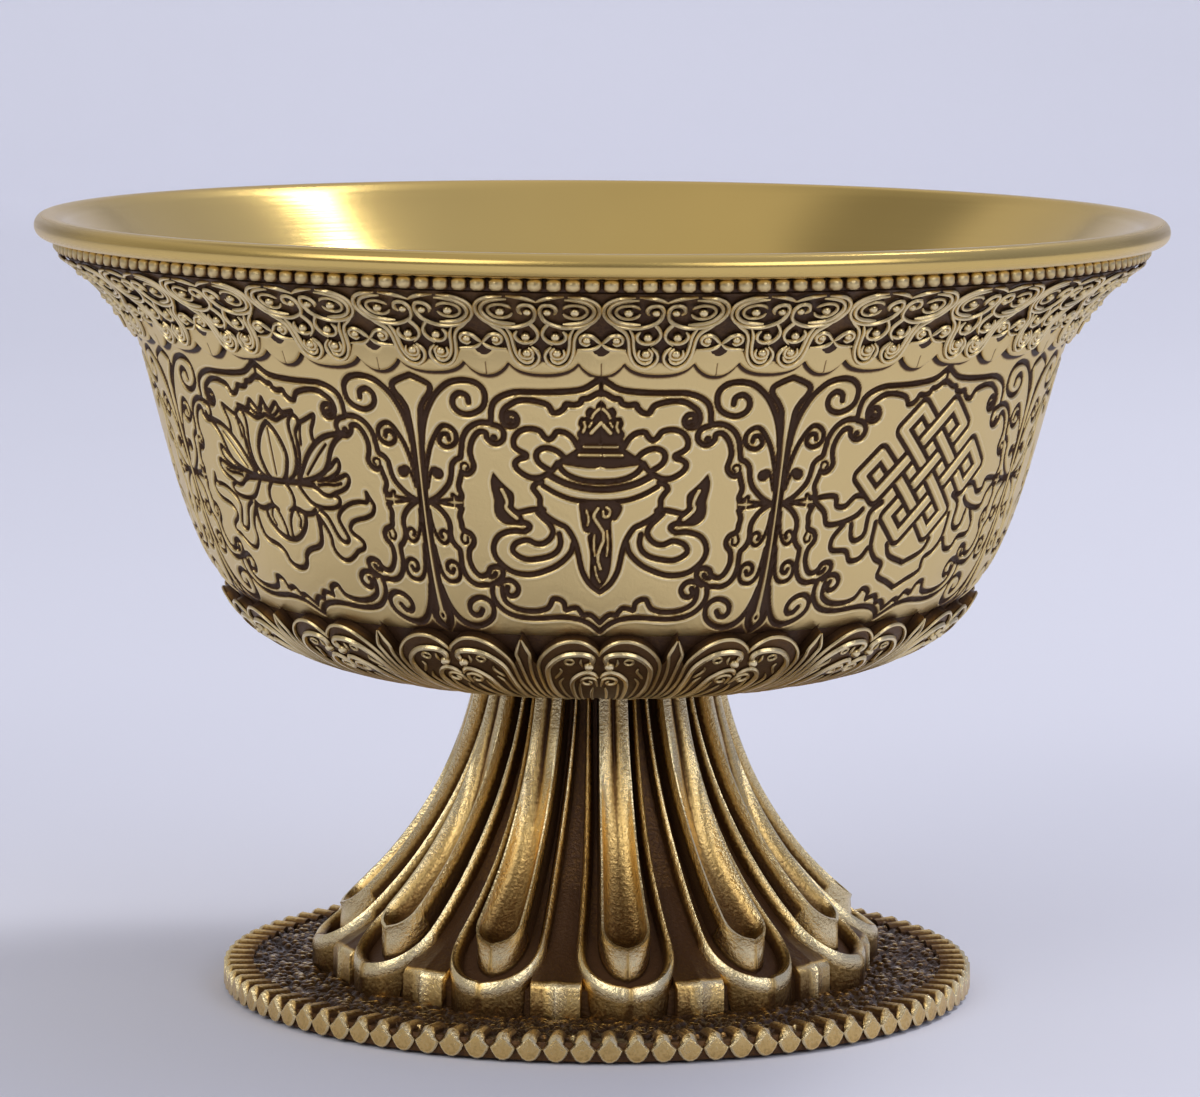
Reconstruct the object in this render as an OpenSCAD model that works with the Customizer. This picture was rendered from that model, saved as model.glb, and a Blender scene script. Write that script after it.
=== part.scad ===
// Footed offering cup: a turned bowl liner in a cast and chased outer bowl, on a lotus stem and beaded base.
// Millimetres, +Z up, origin at the middle of the face it stands on, front panel towards -Y.

/* [Bowl] */
// Outer diameter of the rolled lip
rim_d = 105; // [100:0.5:112]
// Height of the rolled lip above the outer bowl
lip_h = 2.5; // [2.4:0.1:3.5]
// Radius of the roll along the lip's edge
lip_nose_r = 1.2; // [1:0.05:1.2]
// How far the lip reaches out past the outer bowl's top
lip_overhang = 3.2; // [2.8:0.1:3.8]
// Height of the flare under the lip
flare_h = 8.9; // [7:0.1:11]
// Outer radius where the flare starts
waist_r = 43.1; // [41:0.1:44]
// Height of the engraved wall
wall_h = 23.3; // [18:0.1:28]
// Outward swell of the wall above the calyx
wall_swell = 4.4; // [3:0.1:5]
// Radial wall of the outer bowl
shell_t = 2; // [1.6:0.1:2.6]
// Radial width of the outer bowl's top edge
rim_wall_t = 0.7; // [0.6:0.05:1]
// Radial wall of the liner
liner_t = 1.4; // [1:0.1:1.8]
// Radial clearance between liner and outer bowl
liner_gap = 0.4; // [0.3:0.05:0.6]
// Height of the liner's floor above the calyx's top edge
liner_floor_rise = 0.4; // [0.2:0.1:3]
// Radius of the flat part of the liner's floor
liner_flat_r = 16; // [10:0.5:20]

/* [Lip beading] */
// Beads around the lip
lip_bead_n = 196; // [150:1:200]
// Diameter of a lip bead
lip_bead_d = 1.24; // [1:0.02:1.3]
// Height of the land that the beading is soldered on
land_h = 1.4; // [1.4:0.05:1.8]
// Bare land left above and below the beading's strip
land_margin = 0.2; // [0.2:0.05:0.3]
// Radial width of the beading's strip
strip_t = 0.9; // [0.6:0.1:1]

/* [Filigree band] */
// Scallops along the band's lower edge
scallop_n = 56; // [40:2:60]
// Depth of a scallop below the band's straight part
scallop_h = 1.9; // [1.2:0.1:2.4]
// How far the band stands proud of the outer bowl
band_t = 0.9; // [0.6:0.05:1.2]
// Height of the band's scalloped edge above the foot of the flare
band_rise = 0.2; // [0:0.1:1]

/* [Calyx] */
// Outer radius of the bowl's belly
belly_r = 36.2; // [34:0.1:37]
// Height of the belly's round above its flat bottom
belly_h = 11.05; // [10.5:0.05:13]
// Radius of the flat bottom
under_flat_r = 14; // [12.5:0.1:18]
// Height of the calyx
calyx_h = 8.4; // [7:0.1:10]
// Wall of the calyx
calyx_t = 1.2; // [0.9:0.05:1.6]
// Heart scrolls around the calyx
heart_n = 16; // [12:1:18]
// Radius of one lobe of a heart
lobe_r = 1.9; // [1.4:0.1:2.2]
// Half distance between a heart's two lobes
lobe_half = 1.6; // [1.3:0.1:1.8]
// Height of the hearts and spear leaves above the plain edge
leaf_h = 2.4; // [1.5:0.1:3]
// Clearance of the leaves' tips below the calyx's full height
leaf_clear = 0.1; // [0.05:0.05:0.4]
// Width of a spear leaf at its foot
spear_w = 2.4; // [1.6:0.1:3]

/* [Stem] */
// Height of the stem
stem_h = 27.7; // [24:0.1:32]
// Radius of the neck under the bowl
neck_r = 11.6; // [10.5:0.1:12.4]
// Radius of the stem's hollow flare
flare_rho = 36; // [33:0.5:42]
// Lean of the neck from upright, in degrees
neck_lean = 10.2; // [6:0.2:14]
// Petals around the stem
petal_n = 12; // [8:1:12]
// Turn of the first petal from the front, in degrees
petal_turn = 6.6; // [0:0.1:15]
// Radius of the outer petals' tips
foot_r = 27.3; // [26:0.1:29]
// Half angle of an outer petal, in degrees
petal_half = 10.5; // [8:0.1:11]
// Drop of the outer petal's rim below the inner petal
rim_drop = 1.2; // [0.6:0.1:1.6]
// Swell of the petals' round tips past their straight sides
tip_swell = 1.04; // [1.02:0.01:1.1]
// Width of the outer petal's rim
rim_w = 0.8; // [0.5:0.1:1.2]
// Drop of the groove inside the outer petal's rim below the inner petal
groove_drop = 2; // [1.7:0.1:2.1]
// Drop of the ground between the petals below the inner petal
ground_drop = 2.4; // [2.3:0.1:3]
// Radius of the inner petals' tips
inner_tip_r = 25; // [23:0.1:25.5]
// Half angle of an inner petal, in degrees
inner_half = 5.5; // [4:0.1:6.5]
// Width of the inner petal's rim
inner_rim_w = 0.6; // [0.4:0.1:0.9]
// Depth of the inner petal's dish
dish_depth = 1; // [0.4:0.1:1.4]
// Radius of the square leaf ends between the petals
block_r = 25.6; // [24:0.1:26.5]
// Width of a square leaf end
block_w = 4.8; // [3.5:0.1:5.2]
// Radial length of a square leaf end
block_l = 4; // [2.5:0.1:4.5]
// Drop of the square leaf ends below the inner petal
block_drop = 2.2; // [2:0.1:2.2]
// Wall of the hollow stem
stem_t = 2.2; // [1.8:0.1:2.6]
// Thickness of the web at the top of the stem
web_t = 2; // [1.5:0.1:3]

/* [Base] */
// Thickness of the base plate
base_t = 1.9; // [1.4:0.1:2.6]
// Outer diameter over the base beads
base_d = 70.4; // [66:0.2:76]
// Beads around the base
base_bead_n = 92; // [70:1:96]
// Diameter of a base bead
base_bead_d = 2.3; // [1.8:0.05:2.3]
// Radial length of a base bead
base_bead_l = 2.8; // [2:0.1:3.4]
// Height of the base beads' underside above the table
base_bead_rise = 0.15; // [0.05:0.05:0.4]
// Depth of the fastener recess under the base
recess_h = 7.9; // [7:0.1:10]
// Wall around and above the recess
recess_t = 2; // [1.5:0.1:2.6]

/* [Fasteners] */
// Diameter of the tie bolt
bolt_d = 5; // [4:0.5:6]
// Diameter of the bolt's head
head_d = 9; // [8:0.5:11]
// Height of the bolt's head
head_h = 2.8; // [2:0.1:3.2]
// Width across flats of the bolt's socket
socket_af = 3; // [2.5:0.5:4]
// Depth of the bolt's socket
socket_h = 1.6; // [1:0.1:2]
// Diameter of the washer inside the bowl
bolt_washer_d = 14; // [11:0.5:20]
// Diameter of the washer under the base
foot_washer_d = 10; // [9:0.5:12]
// Thickness of both washers
washer_t = 1; // [0.8:0.1:1.2]
// Width across flats of the nut
nut_af = 8; // [7:0.5:9]
// Height of the nut
nut_h = 4; // [3:0.1:4.2]
// Length of bolt past the nut
bolt_end = 1.2; // [0.4:0.1:1.8]

/* [Fits] */
// Radial clearance of the bolt in its holes
bolt_clear = 0.25; // [0.15:0.05:0.4]
// Radial clearance of the nut's thread on the bolt
thread_clear = 0.04; // [0.02:0.01:0.08]
// Film of solder between soldered pieces
solder_gap = 0.05; // [0.03:0.01:0.1]
// Clearance around the foot washer in its recess
recess_clear = 1.2; // [0.8:0.1:2]

/* [Hidden] */

round_fn = 180;
bead_fn = 24;
curve_steps = 8;
overcut = 1;

antique_brass = "#8a7034";
bright_brass = "#c9a65a";
steel = "#9a9a98";

// Levels, from the table up
stem_z = base_t;
neck_z = stem_z + stem_h;
calyx_top_z = neck_z + calyx_h;
shell_bottom_z = neck_z + calyx_t;
waist_z = calyx_top_z + wall_h;
shell_top_z = waist_z + flare_h;
land_z = shell_top_z - land_h;
cup_h = shell_top_z + lip_h;
belly_z = neck_z + belly_h;
liner_floor_z = calyx_top_z + liner_floor_rise;

// Radii and insets from the outer faces
rim_r = rim_d / 2;
shell_top_r = rim_r - lip_overhang;
shell_inset = calyx_t + solder_gap;
liner_inset = shell_t + liner_gap;
bolt_hole_r = bolt_d / 2 + bolt_clear;

// A cubic curve through its two end points, drawn out by the two handles between them
function bezier(p, q, r, s, n) = [
  for (i = [0:n])
    let (t = i / n)
      pow(1 - t, 3) * p + 3 * pow(1 - t, 2) * t * q + 3 * (1 - t) * t * t * r + pow(t, 3) * s
];

// The round underside, from the edge of its flat bottom up to the level top_z, drawn in by inset
function underside(inset, top_z) =
  let (end = asin((belly_z - top_z) / (belly_h - inset)))
  [
    for (i = [0:curve_steps])
      let (a = 90 + (end - 90) * i / curve_steps)
        [under_flat_r + (belly_r - under_flat_r - inset) * cos(a), belly_z - (belly_h - inset) * sin(a)]
  ];

// The engraved wall, from the calyx's edge to the waist
wall_foot = underside(shell_inset, calyx_top_z)[curve_steps];
wall_head = [waist_r, waist_z];
wall_pull = [wall_swell, 2.8];
waist_pull = [2.2, 7];
function wall(inset) =
  let (in = [inset, 0])
  bezier(wall_foot - in, wall_foot + wall_pull - in, wall_head - waist_pull - in, wall_head - in, 2 * curve_steps);

// The flare, from the waist to the land under the lip
flare_foot_pull = [0.6, 2.3];
flare_head_pull = [3.4, 2.4];
function flare(inset) =
  let (in = [inset, 0], head = [shell_top_r, land_z])
  bezier(wall_head - in, wall_head + flare_foot_pull - in, head - flare_head_pull - in, head - in, curve_steps);

// The flare's inside: drawn in by inset, then straight on to the level of the outer bowl's top edge
throat_step = 3 / 4 * curve_steps;
function throat(inset) =
  concat(
    [for (i = [0:throat_step]) flare(inset)[i]],
    [[shell_top_r - rim_wall_t + shell_t - inset, shell_top_z]]
  );

// The list without its first points
function after(points, n) = [for (i = [n:len(points) - 1]) points[i]];

// The liner's side: a round knee from its flat floor into the wall, and up to the outer bowl's top edge
knee_step = 5;
knee_pull = [1.6, 3.4];
function liner_side(inset, floor_z) =
  let (side = after(wall(inset), knee_step), reach = side[0][0] - liner_flat_r)
  concat(
    bezier([liner_flat_r, floor_z], [liner_flat_r + 0.6 * reach, floor_z], side[0] - knee_pull, side[0], curve_steps),
    after(side, 1),
    after(throat(inset), 1)
  );

function reversed(points) = [for (i = [len(points) - 1:-1:0]) points[i]];

module bowl_liner() {
  outside = liner_side(liner_inset, liner_floor_z);
  inside = liner_side(liner_inset + liner_t, liner_floor_z + liner_t);
  nose = [rim_r - lip_nose_r, cup_h - lip_nose_r];
  color(bright_brass)
    rotate_extrude($fn = round_fn) {
      polygon(concat(
        [[0, liner_floor_z]],
        outside,
        [[shell_top_r, shell_top_z], nose, [nose[0], cup_h]],
        reversed(inside),
        [[0, liner_floor_z + liner_t]]
      ));
      translate(nose)
        circle(lip_nose_r, $fn = 2 * bead_fn);
    }
}

module bowl_shell() {
  bottom_in_z = shell_bottom_z + shell_t;
  color(antique_brass)
    rotate_extrude($fn = round_fn)
      polygon(concat(
        [[bolt_hole_r, shell_bottom_z], [under_flat_r, shell_bottom_z]],
        after(underside(shell_inset, calyx_top_z), 1),
        after(wall(0), 1),
        after(flare(0), 1),
        [[shell_top_r, shell_top_z]],
        reversed(throat(shell_t)),
        reversed(after(wall(shell_t), 1)),
        reversed(underside(shell_inset + shell_t, calyx_top_z)),
        [[under_flat_r, bottom_in_z], [bolt_hole_r, bottom_in_z]]
      ));
}

module lip_beading() {
  strip_r = shell_top_r + solder_gap;
  bead_r = lip_bead_d / 2;
  strip_h = land_h - 2 * land_margin;
  color(antique_brass) {
    rotate_extrude($fn = round_fn)
      translate([strip_r, land_z + land_margin])
        square([strip_t, strip_h]);
    for (i = [0:lip_bead_n - 1])
      rotate([0, 0, 360 * i / lip_bead_n])
        translate([strip_r + strip_t, 0, land_z + land_h / 2])
          sphere(bead_r, $fn = bead_fn);
  }
}

module filigree_band() {
  edge_z = waist_z + band_rise + scallop_h;
  scallop_r = PI * (waist_r + band_t) / scallop_n;
  reach = shell_top_r - waist_r + band_t;
  color(antique_brass)
    intersection() {
      rotate_extrude($fn = round_fn)
        polygon(concat(flare(-band_t), reversed(flare(-solder_gap))));
      union() {
        translate([0, 0, edge_z])
          cylinder(h = shell_top_z - edge_z, r = rim_r, $fn = round_fn);
        for (i = [0:scallop_n - 1])
          rotate([0, 0, 360 * i / scallop_n])
            translate([waist_r - band_t, 0, edge_z])
              rotate([0, 90, 0])
                scale_scallop(scallop_r, reach);
      }
    }
}

// One scallop, its axis along +Z: a half round that reaches down from the band's straight part
module scale_scallop(r, reach) {
  linear_extrude(reach)
    intersection() {
      translate([scallop_h - r, 0])
        circle(r, $fn = 2 * bead_fn);
      translate([-overcut, -r])
        square([scallop_h + overcut, 2 * r]);
    }
}

// The calyx's plain cup, before its edge is cut
module calyx_cup() {
  rotate_extrude($fn = round_fn)
    polygon(concat(
      [[bolt_hole_r, neck_z]],
      underside(0, calyx_top_z),
      reversed(underside(calyx_t, calyx_top_z)),
      [[bolt_hole_r, shell_bottom_z]]
    ));
}

// A heart's two lobes, drawn on the plane that faces along +Z, with +X down
module heart_outline() {
  for (side = [-1, 1])
    translate([lobe_r - leaf_h, side * lobe_half])
      circle(lobe_r, $fn = 2 * bead_fn);
}

module spear_outline() {
  polygon([[-leaf_h, 0], [-leaf_h / 3, spear_w / 2], [overcut, spear_w / 2], [overcut, -spear_w / 2],
    [-leaf_h / 3, -spear_w / 2]]);
}

module calyx() {
  edge_z = calyx_top_z - leaf_clear - leaf_h;
  step = 360 / heart_n;
  inner_r = under_flat_r + overcut;
  // A leaf's outline pushed straight out through the calyx's wall, a turned from the front
  module leaf(a) {
    rotate([0, 0, a - 90])
      translate([inner_r, 0, edge_z])
        rotate([0, 90, 0])
          linear_extrude(belly_r)
            children();
  }
  color(antique_brass)
    intersection() {
      calyx_cup();
      union() {
        translate([0, 0, neck_z - overcut])
          cylinder(h = edge_z - neck_z + overcut, r = belly_r + overcut, $fn = round_fn);
        for (i = [0:heart_n - 1]) {
          leaf(i * step)
            heart_outline();
          leaf((i + 0.5) * step)
            spear_outline();
        }
      }
    }
}

// Centre of the hollow flare that all the stem's faces share
flare_c = [neck_r + flare_rho * cos(neck_lean), neck_z + flare_rho * sin(neck_lean)];

// The stem turned to a flare that lies drop below the inner petals, and cut off at radius r
module stem_level(drop, r) {
  rotate_extrude($fn = round_fn)
    difference() {
      translate([0, stem_z])
        square([r, stem_h]);
      translate(flare_c)
        circle(flare_rho + drop, $fn = 2 * round_fn);
    }
}

// What lies between two such flares, out to radius r
module stem_layer(low_drop, high_drop, r) {
  rotate_extrude($fn = round_fn)
    intersection() {
      translate([0, stem_z])
        square([r, stem_h + overcut]);
      translate(flare_c)
        difference() {
          circle(flare_rho + low_drop, $fn = 2 * round_fn);
          circle(flare_rho + high_drop, $fn = 2 * round_fn);
        }
    }
}

// Petals seen from above: wedges of the half angle given, with round tips at radius tip_r
module petal_wedges(half, tip_r) {
  round_c = tip_r / (1 + tip_swell * sin(half));
  round_r = tip_r - round_c;
  side = round_c * cos(half);
  start = neck_r - ground_drop - stem_t;
  for (i = [0:petal_n - 1])
    rotate([0, 0, petal_turn - 90 + 360 * i / petal_n])
      translate([0, 0, stem_z - overcut])
        linear_extrude(stem_h + 2 * overcut) {
          polygon([
            start * [cos(half), -sin(half)],
            side * [cos(half), -sin(half)],
            side * [cos(half), sin(half)],
            start * [cos(half), sin(half)]
          ]);
          translate([round_c, 0])
            circle(round_r, $fn = 2 * bead_fn);
        }
}

// Square leaf ends between the petals
module leaf_blocks() {
  for (i = [0:petal_n - 1])
    rotate([0, 0, petal_turn - 90 + 360 * (i + 0.5) / petal_n])
      translate([block_r - block_l, -block_w / 2, stem_z - overcut])
        cube([block_l + overcut, block_w, stem_h + overcut]);
}

module stem() {
  // Half angle of a wedge drawn in by its rim's width, measured near its tip
  function drawn_in(half, tip_r, w) = half - asin(w / (tip_r / (1 + sin(half))));
  groove_half = drawn_in(petal_half, foot_r, rim_w);
  dish_half = drawn_in(inner_half, inner_tip_r, inner_rim_w);
  ground_r = block_r - overcut;
  hollow_rho = flare_rho + ground_drop + stem_t;
  hollow_r = ground_r - 2 * stem_t;
  color(antique_brass)
    difference() {
      union() {
        stem_level(ground_drop, ground_r);
        intersection() {
          stem_level(block_drop, block_r);
          leaf_blocks();
        }
        difference() {
          intersection() {
            stem_level(rim_drop, foot_r);
            petal_wedges(petal_half, foot_r);
          }
          intersection() {
            stem_layer(groove_drop, 0, foot_r);
            petal_wedges(groove_half, foot_r - rim_w);
          }
        }
        difference() {
          intersection() {
            stem_level(0, inner_tip_r);
            petal_wedges(inner_half, inner_tip_r);
          }
          intersection() {
            stem_layer(dish_depth, -overcut, inner_tip_r);
            petal_wedges(dish_half, inner_tip_r - inner_rim_w);
          }
        }
      }
      rotate_extrude($fn = round_fn)
        difference() {
          translate([0, stem_z - overcut])
            square([hollow_r, stem_h - web_t + overcut]);
          translate(flare_c)
            circle(hollow_rho, $fn = 2 * round_fn);
        }
      cylinder(h = neck_z + overcut, r = bolt_hole_r, $fn = round_fn);
    }
}

base_bead_top_z = base_bead_rise + base_bead_d;
plate_r = base_d / 2 - base_bead_l / 2;
recess_r = foot_washer_d / 2 + recess_clear;

module base_plate() {
  hub_r = recess_r + recess_t;
  hub_z = recess_h + recess_t;
  color(antique_brass)
    rotate_extrude($fn = round_fn)
      polygon([[recess_r, 0], [plate_r, 0], [plate_r, base_t], [hub_r, base_t], [hub_r, hub_z], [bolt_hole_r, hub_z],
        [bolt_hole_r, recess_h], [recess_r, recess_h]]);
}

module base_beading() {
  ring_r = plate_r + solder_gap;
  bead_r = base_bead_d / 2;
  bead_z = base_bead_rise + bead_r;
  ring_w = base_bead_l / 2 - solder_gap - bead_r / 2;
  // A bead is a short barrel that lies along the radius, its outer end turned down to a flat
  bevel = bead_r / 3;
  bead_l = base_d / 2 - ring_r;
  color(antique_brass) {
    rotate_extrude($fn = round_fn)
      translate([ring_r, base_bead_rise])
        square([ring_w, base_bead_d - 2 * bevel]);
    difference() {
      for (i = [0:base_bead_n - 1])
        rotate([0, 0, 360 * i / base_bead_n])
          translate([ring_r, 0, bead_z])
            rotate([0, 90, 0])
              rotate_extrude($fn = bead_fn)
                polygon([[0, 0], [bead_r, 0], [bead_r, bead_l - bevel], [bead_r - bevel, bead_l], [0, bead_l]]);
      cylinder(h = base_bead_top_z + overcut, r = ring_r, $fn = round_fn);
    }
  }
}

bolt_seat_z = shell_bottom_z + shell_t + washer_t;
nut_z = recess_h - washer_t - nut_h;

module tie_bolt() {
  tip_z = nut_z - bolt_end;
  color(steel)
    difference() {
      union() {
        translate([0, 0, tip_z])
          cylinder(h = bolt_seat_z - tip_z, d = bolt_d, $fn = round_fn);
        translate([0, 0, bolt_seat_z])
          cylinder(h = head_h, d = head_d, $fn = round_fn);
      }
      translate([0, 0, bolt_seat_z + head_h - socket_h])
        cylinder(h = socket_h + overcut, d = socket_af / cos(30), $fn = 6);
    }
}

module washer(d, z) {
  color(steel)
    translate([0, 0, z])
      difference() {
        cylinder(h = washer_t, d = d, $fn = round_fn);
        translate([0, 0, -overcut])
          cylinder(h = washer_t + 2 * overcut, r = bolt_hole_r, $fn = round_fn);
      }
}

module bolt_washer() {
  washer(bolt_washer_d, bolt_seat_z - washer_t);
}

module foot_washer() {
  washer(foot_washer_d, recess_h - washer_t);
}

module foot_nut() {
  color(steel)
    translate([0, 0, nut_z])
      difference() {
        cylinder(h = nut_h, d = nut_af / cos(30), $fn = 6);
        translate([0, 0, -overcut])
          cylinder(h = nut_h + 2 * overcut, r = bolt_d / 2 + thread_clear, $fn = round_fn);
      }
}

bowl_liner();
bowl_shell();
lip_beading();
filigree_band();
calyx();
stem();
base_plate();
base_beading();
tie_bolt();
bolt_washer();
foot_washer();
foot_nut();
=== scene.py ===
"""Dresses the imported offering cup: liner, engraved bowl, collar, calyx, lotus stem, beaded base and stage."""
import math

import bpy
import numpy as np
from mathutils import Matrix, Vector


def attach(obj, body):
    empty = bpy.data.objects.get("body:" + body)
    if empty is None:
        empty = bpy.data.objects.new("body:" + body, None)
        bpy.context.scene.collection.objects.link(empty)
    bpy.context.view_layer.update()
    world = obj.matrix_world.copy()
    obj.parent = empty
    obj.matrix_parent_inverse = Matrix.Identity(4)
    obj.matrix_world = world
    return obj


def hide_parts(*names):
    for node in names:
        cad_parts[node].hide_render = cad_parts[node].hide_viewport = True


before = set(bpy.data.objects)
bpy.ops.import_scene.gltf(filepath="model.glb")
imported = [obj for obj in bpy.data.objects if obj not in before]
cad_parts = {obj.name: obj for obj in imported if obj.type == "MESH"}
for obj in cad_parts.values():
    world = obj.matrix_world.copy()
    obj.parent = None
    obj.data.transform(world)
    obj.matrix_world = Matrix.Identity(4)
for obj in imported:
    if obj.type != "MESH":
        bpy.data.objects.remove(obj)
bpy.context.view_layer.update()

bl_info = {
    "name": "Offering cup looks",
    "version": (1, 0, 0),
    "blender": (4, 5, 0),
    "location": "View3D > Sidebar > Cup",
    "description": "Models the brass ornament of a footed offering cup around its packed solids",
    "category": "Object",
}

MM = 0.001

# Outline of the cup in mm, radius and height, the same values as the solids have
WALL_FOOT = (34.17, 38.0)
WAIST = (43.1, 61.3)
LAND = (49.3, 68.8)
WALL_SWELL, WAIST_PULL = (4.4, 2.8), (2.2, 7.0)
FLARE_FOOT, FLARE_HEAD = (0.6, 2.3), (3.4, 2.4)
SHELL_TOP_Z = 70.2
CUP_H = 72.7
RIM_R = 52.5
LIP_NOSE_R = 1.07
SHELL_T, LINER_T, LINER_GAP = 2.0, 1.4, 0.4
LINER_FLOOR_Z, LINER_FLAT_R = 38.4, 16.0
BELLY_FLAT_R, BELLY_R, BELLY_Z, BELLY_H = 14.0, 36.2, 40.65, 11.05
SHELL_INSET = 1.25
SHELL_FLOOR_Z = 30.8
BOLT_HOLE_R = 2.75
STEM_MID, STEM_RHO = (47.03, 35.97), 36.0
NECK_LEAN = math.radians(10.2)
NECK_Z = 29.6
PETAL_N, PETAL_TURN = 12, math.radians(6.6)
BASE_T, PLATE_R, BASE_R = 1.9, 33.8, 35.2
RECESS_R, RECESS_H, RECESS_T = 6.2, 7.9, 2.0
PANEL_TOP_Z = 62.9
PANEL_N, UNIT_N, HEART_N, LIP_BEAD_N, BASE_BEAD_N = 8, 28, 16, 196, 92
# Further than any cut or hole reaches, in mm
FAR = 9.0


def linear(hex_colour):
    """A colour written as sRGB hex, as the linear red, green and blue that shaders take."""
    parts = [int(hex_colour[i:i + 2], 16) / 255 for i in (1, 3, 5)]
    return [c / 12.92 if c <= 0.04045 else ((c + 0.055) / 1.055) ** 2.4 for c in parts]


def size(name, description, mm):
    """A length that can be set, given in mm."""
    return bpy.props.FloatProperty(name=name, description=description, default=mm * MM, unit="LENGTH", precision=5)


def colour(name, description, hex_colour):
    """A colour that can be set, given as sRGB hex."""
    return bpy.props.FloatVectorProperty(
        name=name, description=description, default=linear(hex_colour), subtype="COLOR", min=0, max=1)


class CupSizes(bpy.types.PropertyGroup):
    """Sizes of the ornament"""
    groove_depth: size("Groove depth", "How deep the engraver's lines go into the wall", 0.32)
    groove_half: size("Groove half width", "Half the width of an engraved line", 0.25)
    panel_step: size("Panel step", "Spacing of the points on an engraved panel", 0.12)
    wire_r: size("Wire radius", "Radius of the collar's scroll wire", 0.19)
    ridge_r: size("Ridge radius", "Radius of the calyx's heart scrolls", 0.3)
    ground_grain: size("Ground grain", "Height of the punched grain on the base", 0.45)


class CupColours(bpy.types.PropertyGroup):
    """Colours of the metals and of the stage"""
    # The rubbed brass and the patina also paint the highlights and the shade that the wear_and_shading attribute marks
    turned: colour("Turned brass", "Clean brass of the liner", "#e4c476")
    polished_and_highlight: colour("Rubbed brass", "Brass where hands and cloths rub it bright", "#f2dfb0")
    brass: colour("Aged brass", "Wall brass with a thin, even tarnish", "#e1c78a")
    wire: colour("Wire brass", "Paler brass of wire, granules and beads", "#dcc48c")
    cast: colour("Cast brass", "Warm gold of the stem's rubbed faces", "#dfbc78")
    tarnish: colour("Tarnish", "Brown skin at the edge of a recess", "#7a5a33")
    patina_and_shade: colour("Patina", "Black-brown skin in the recesses", "#432c19")
    zinc: colour("Zinc", "Zinc plate on the fasteners", "#b9bbbd")
    paper: colour("Paper", "Seamless paper under and behind the cup", "#e1e2ee")


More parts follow.
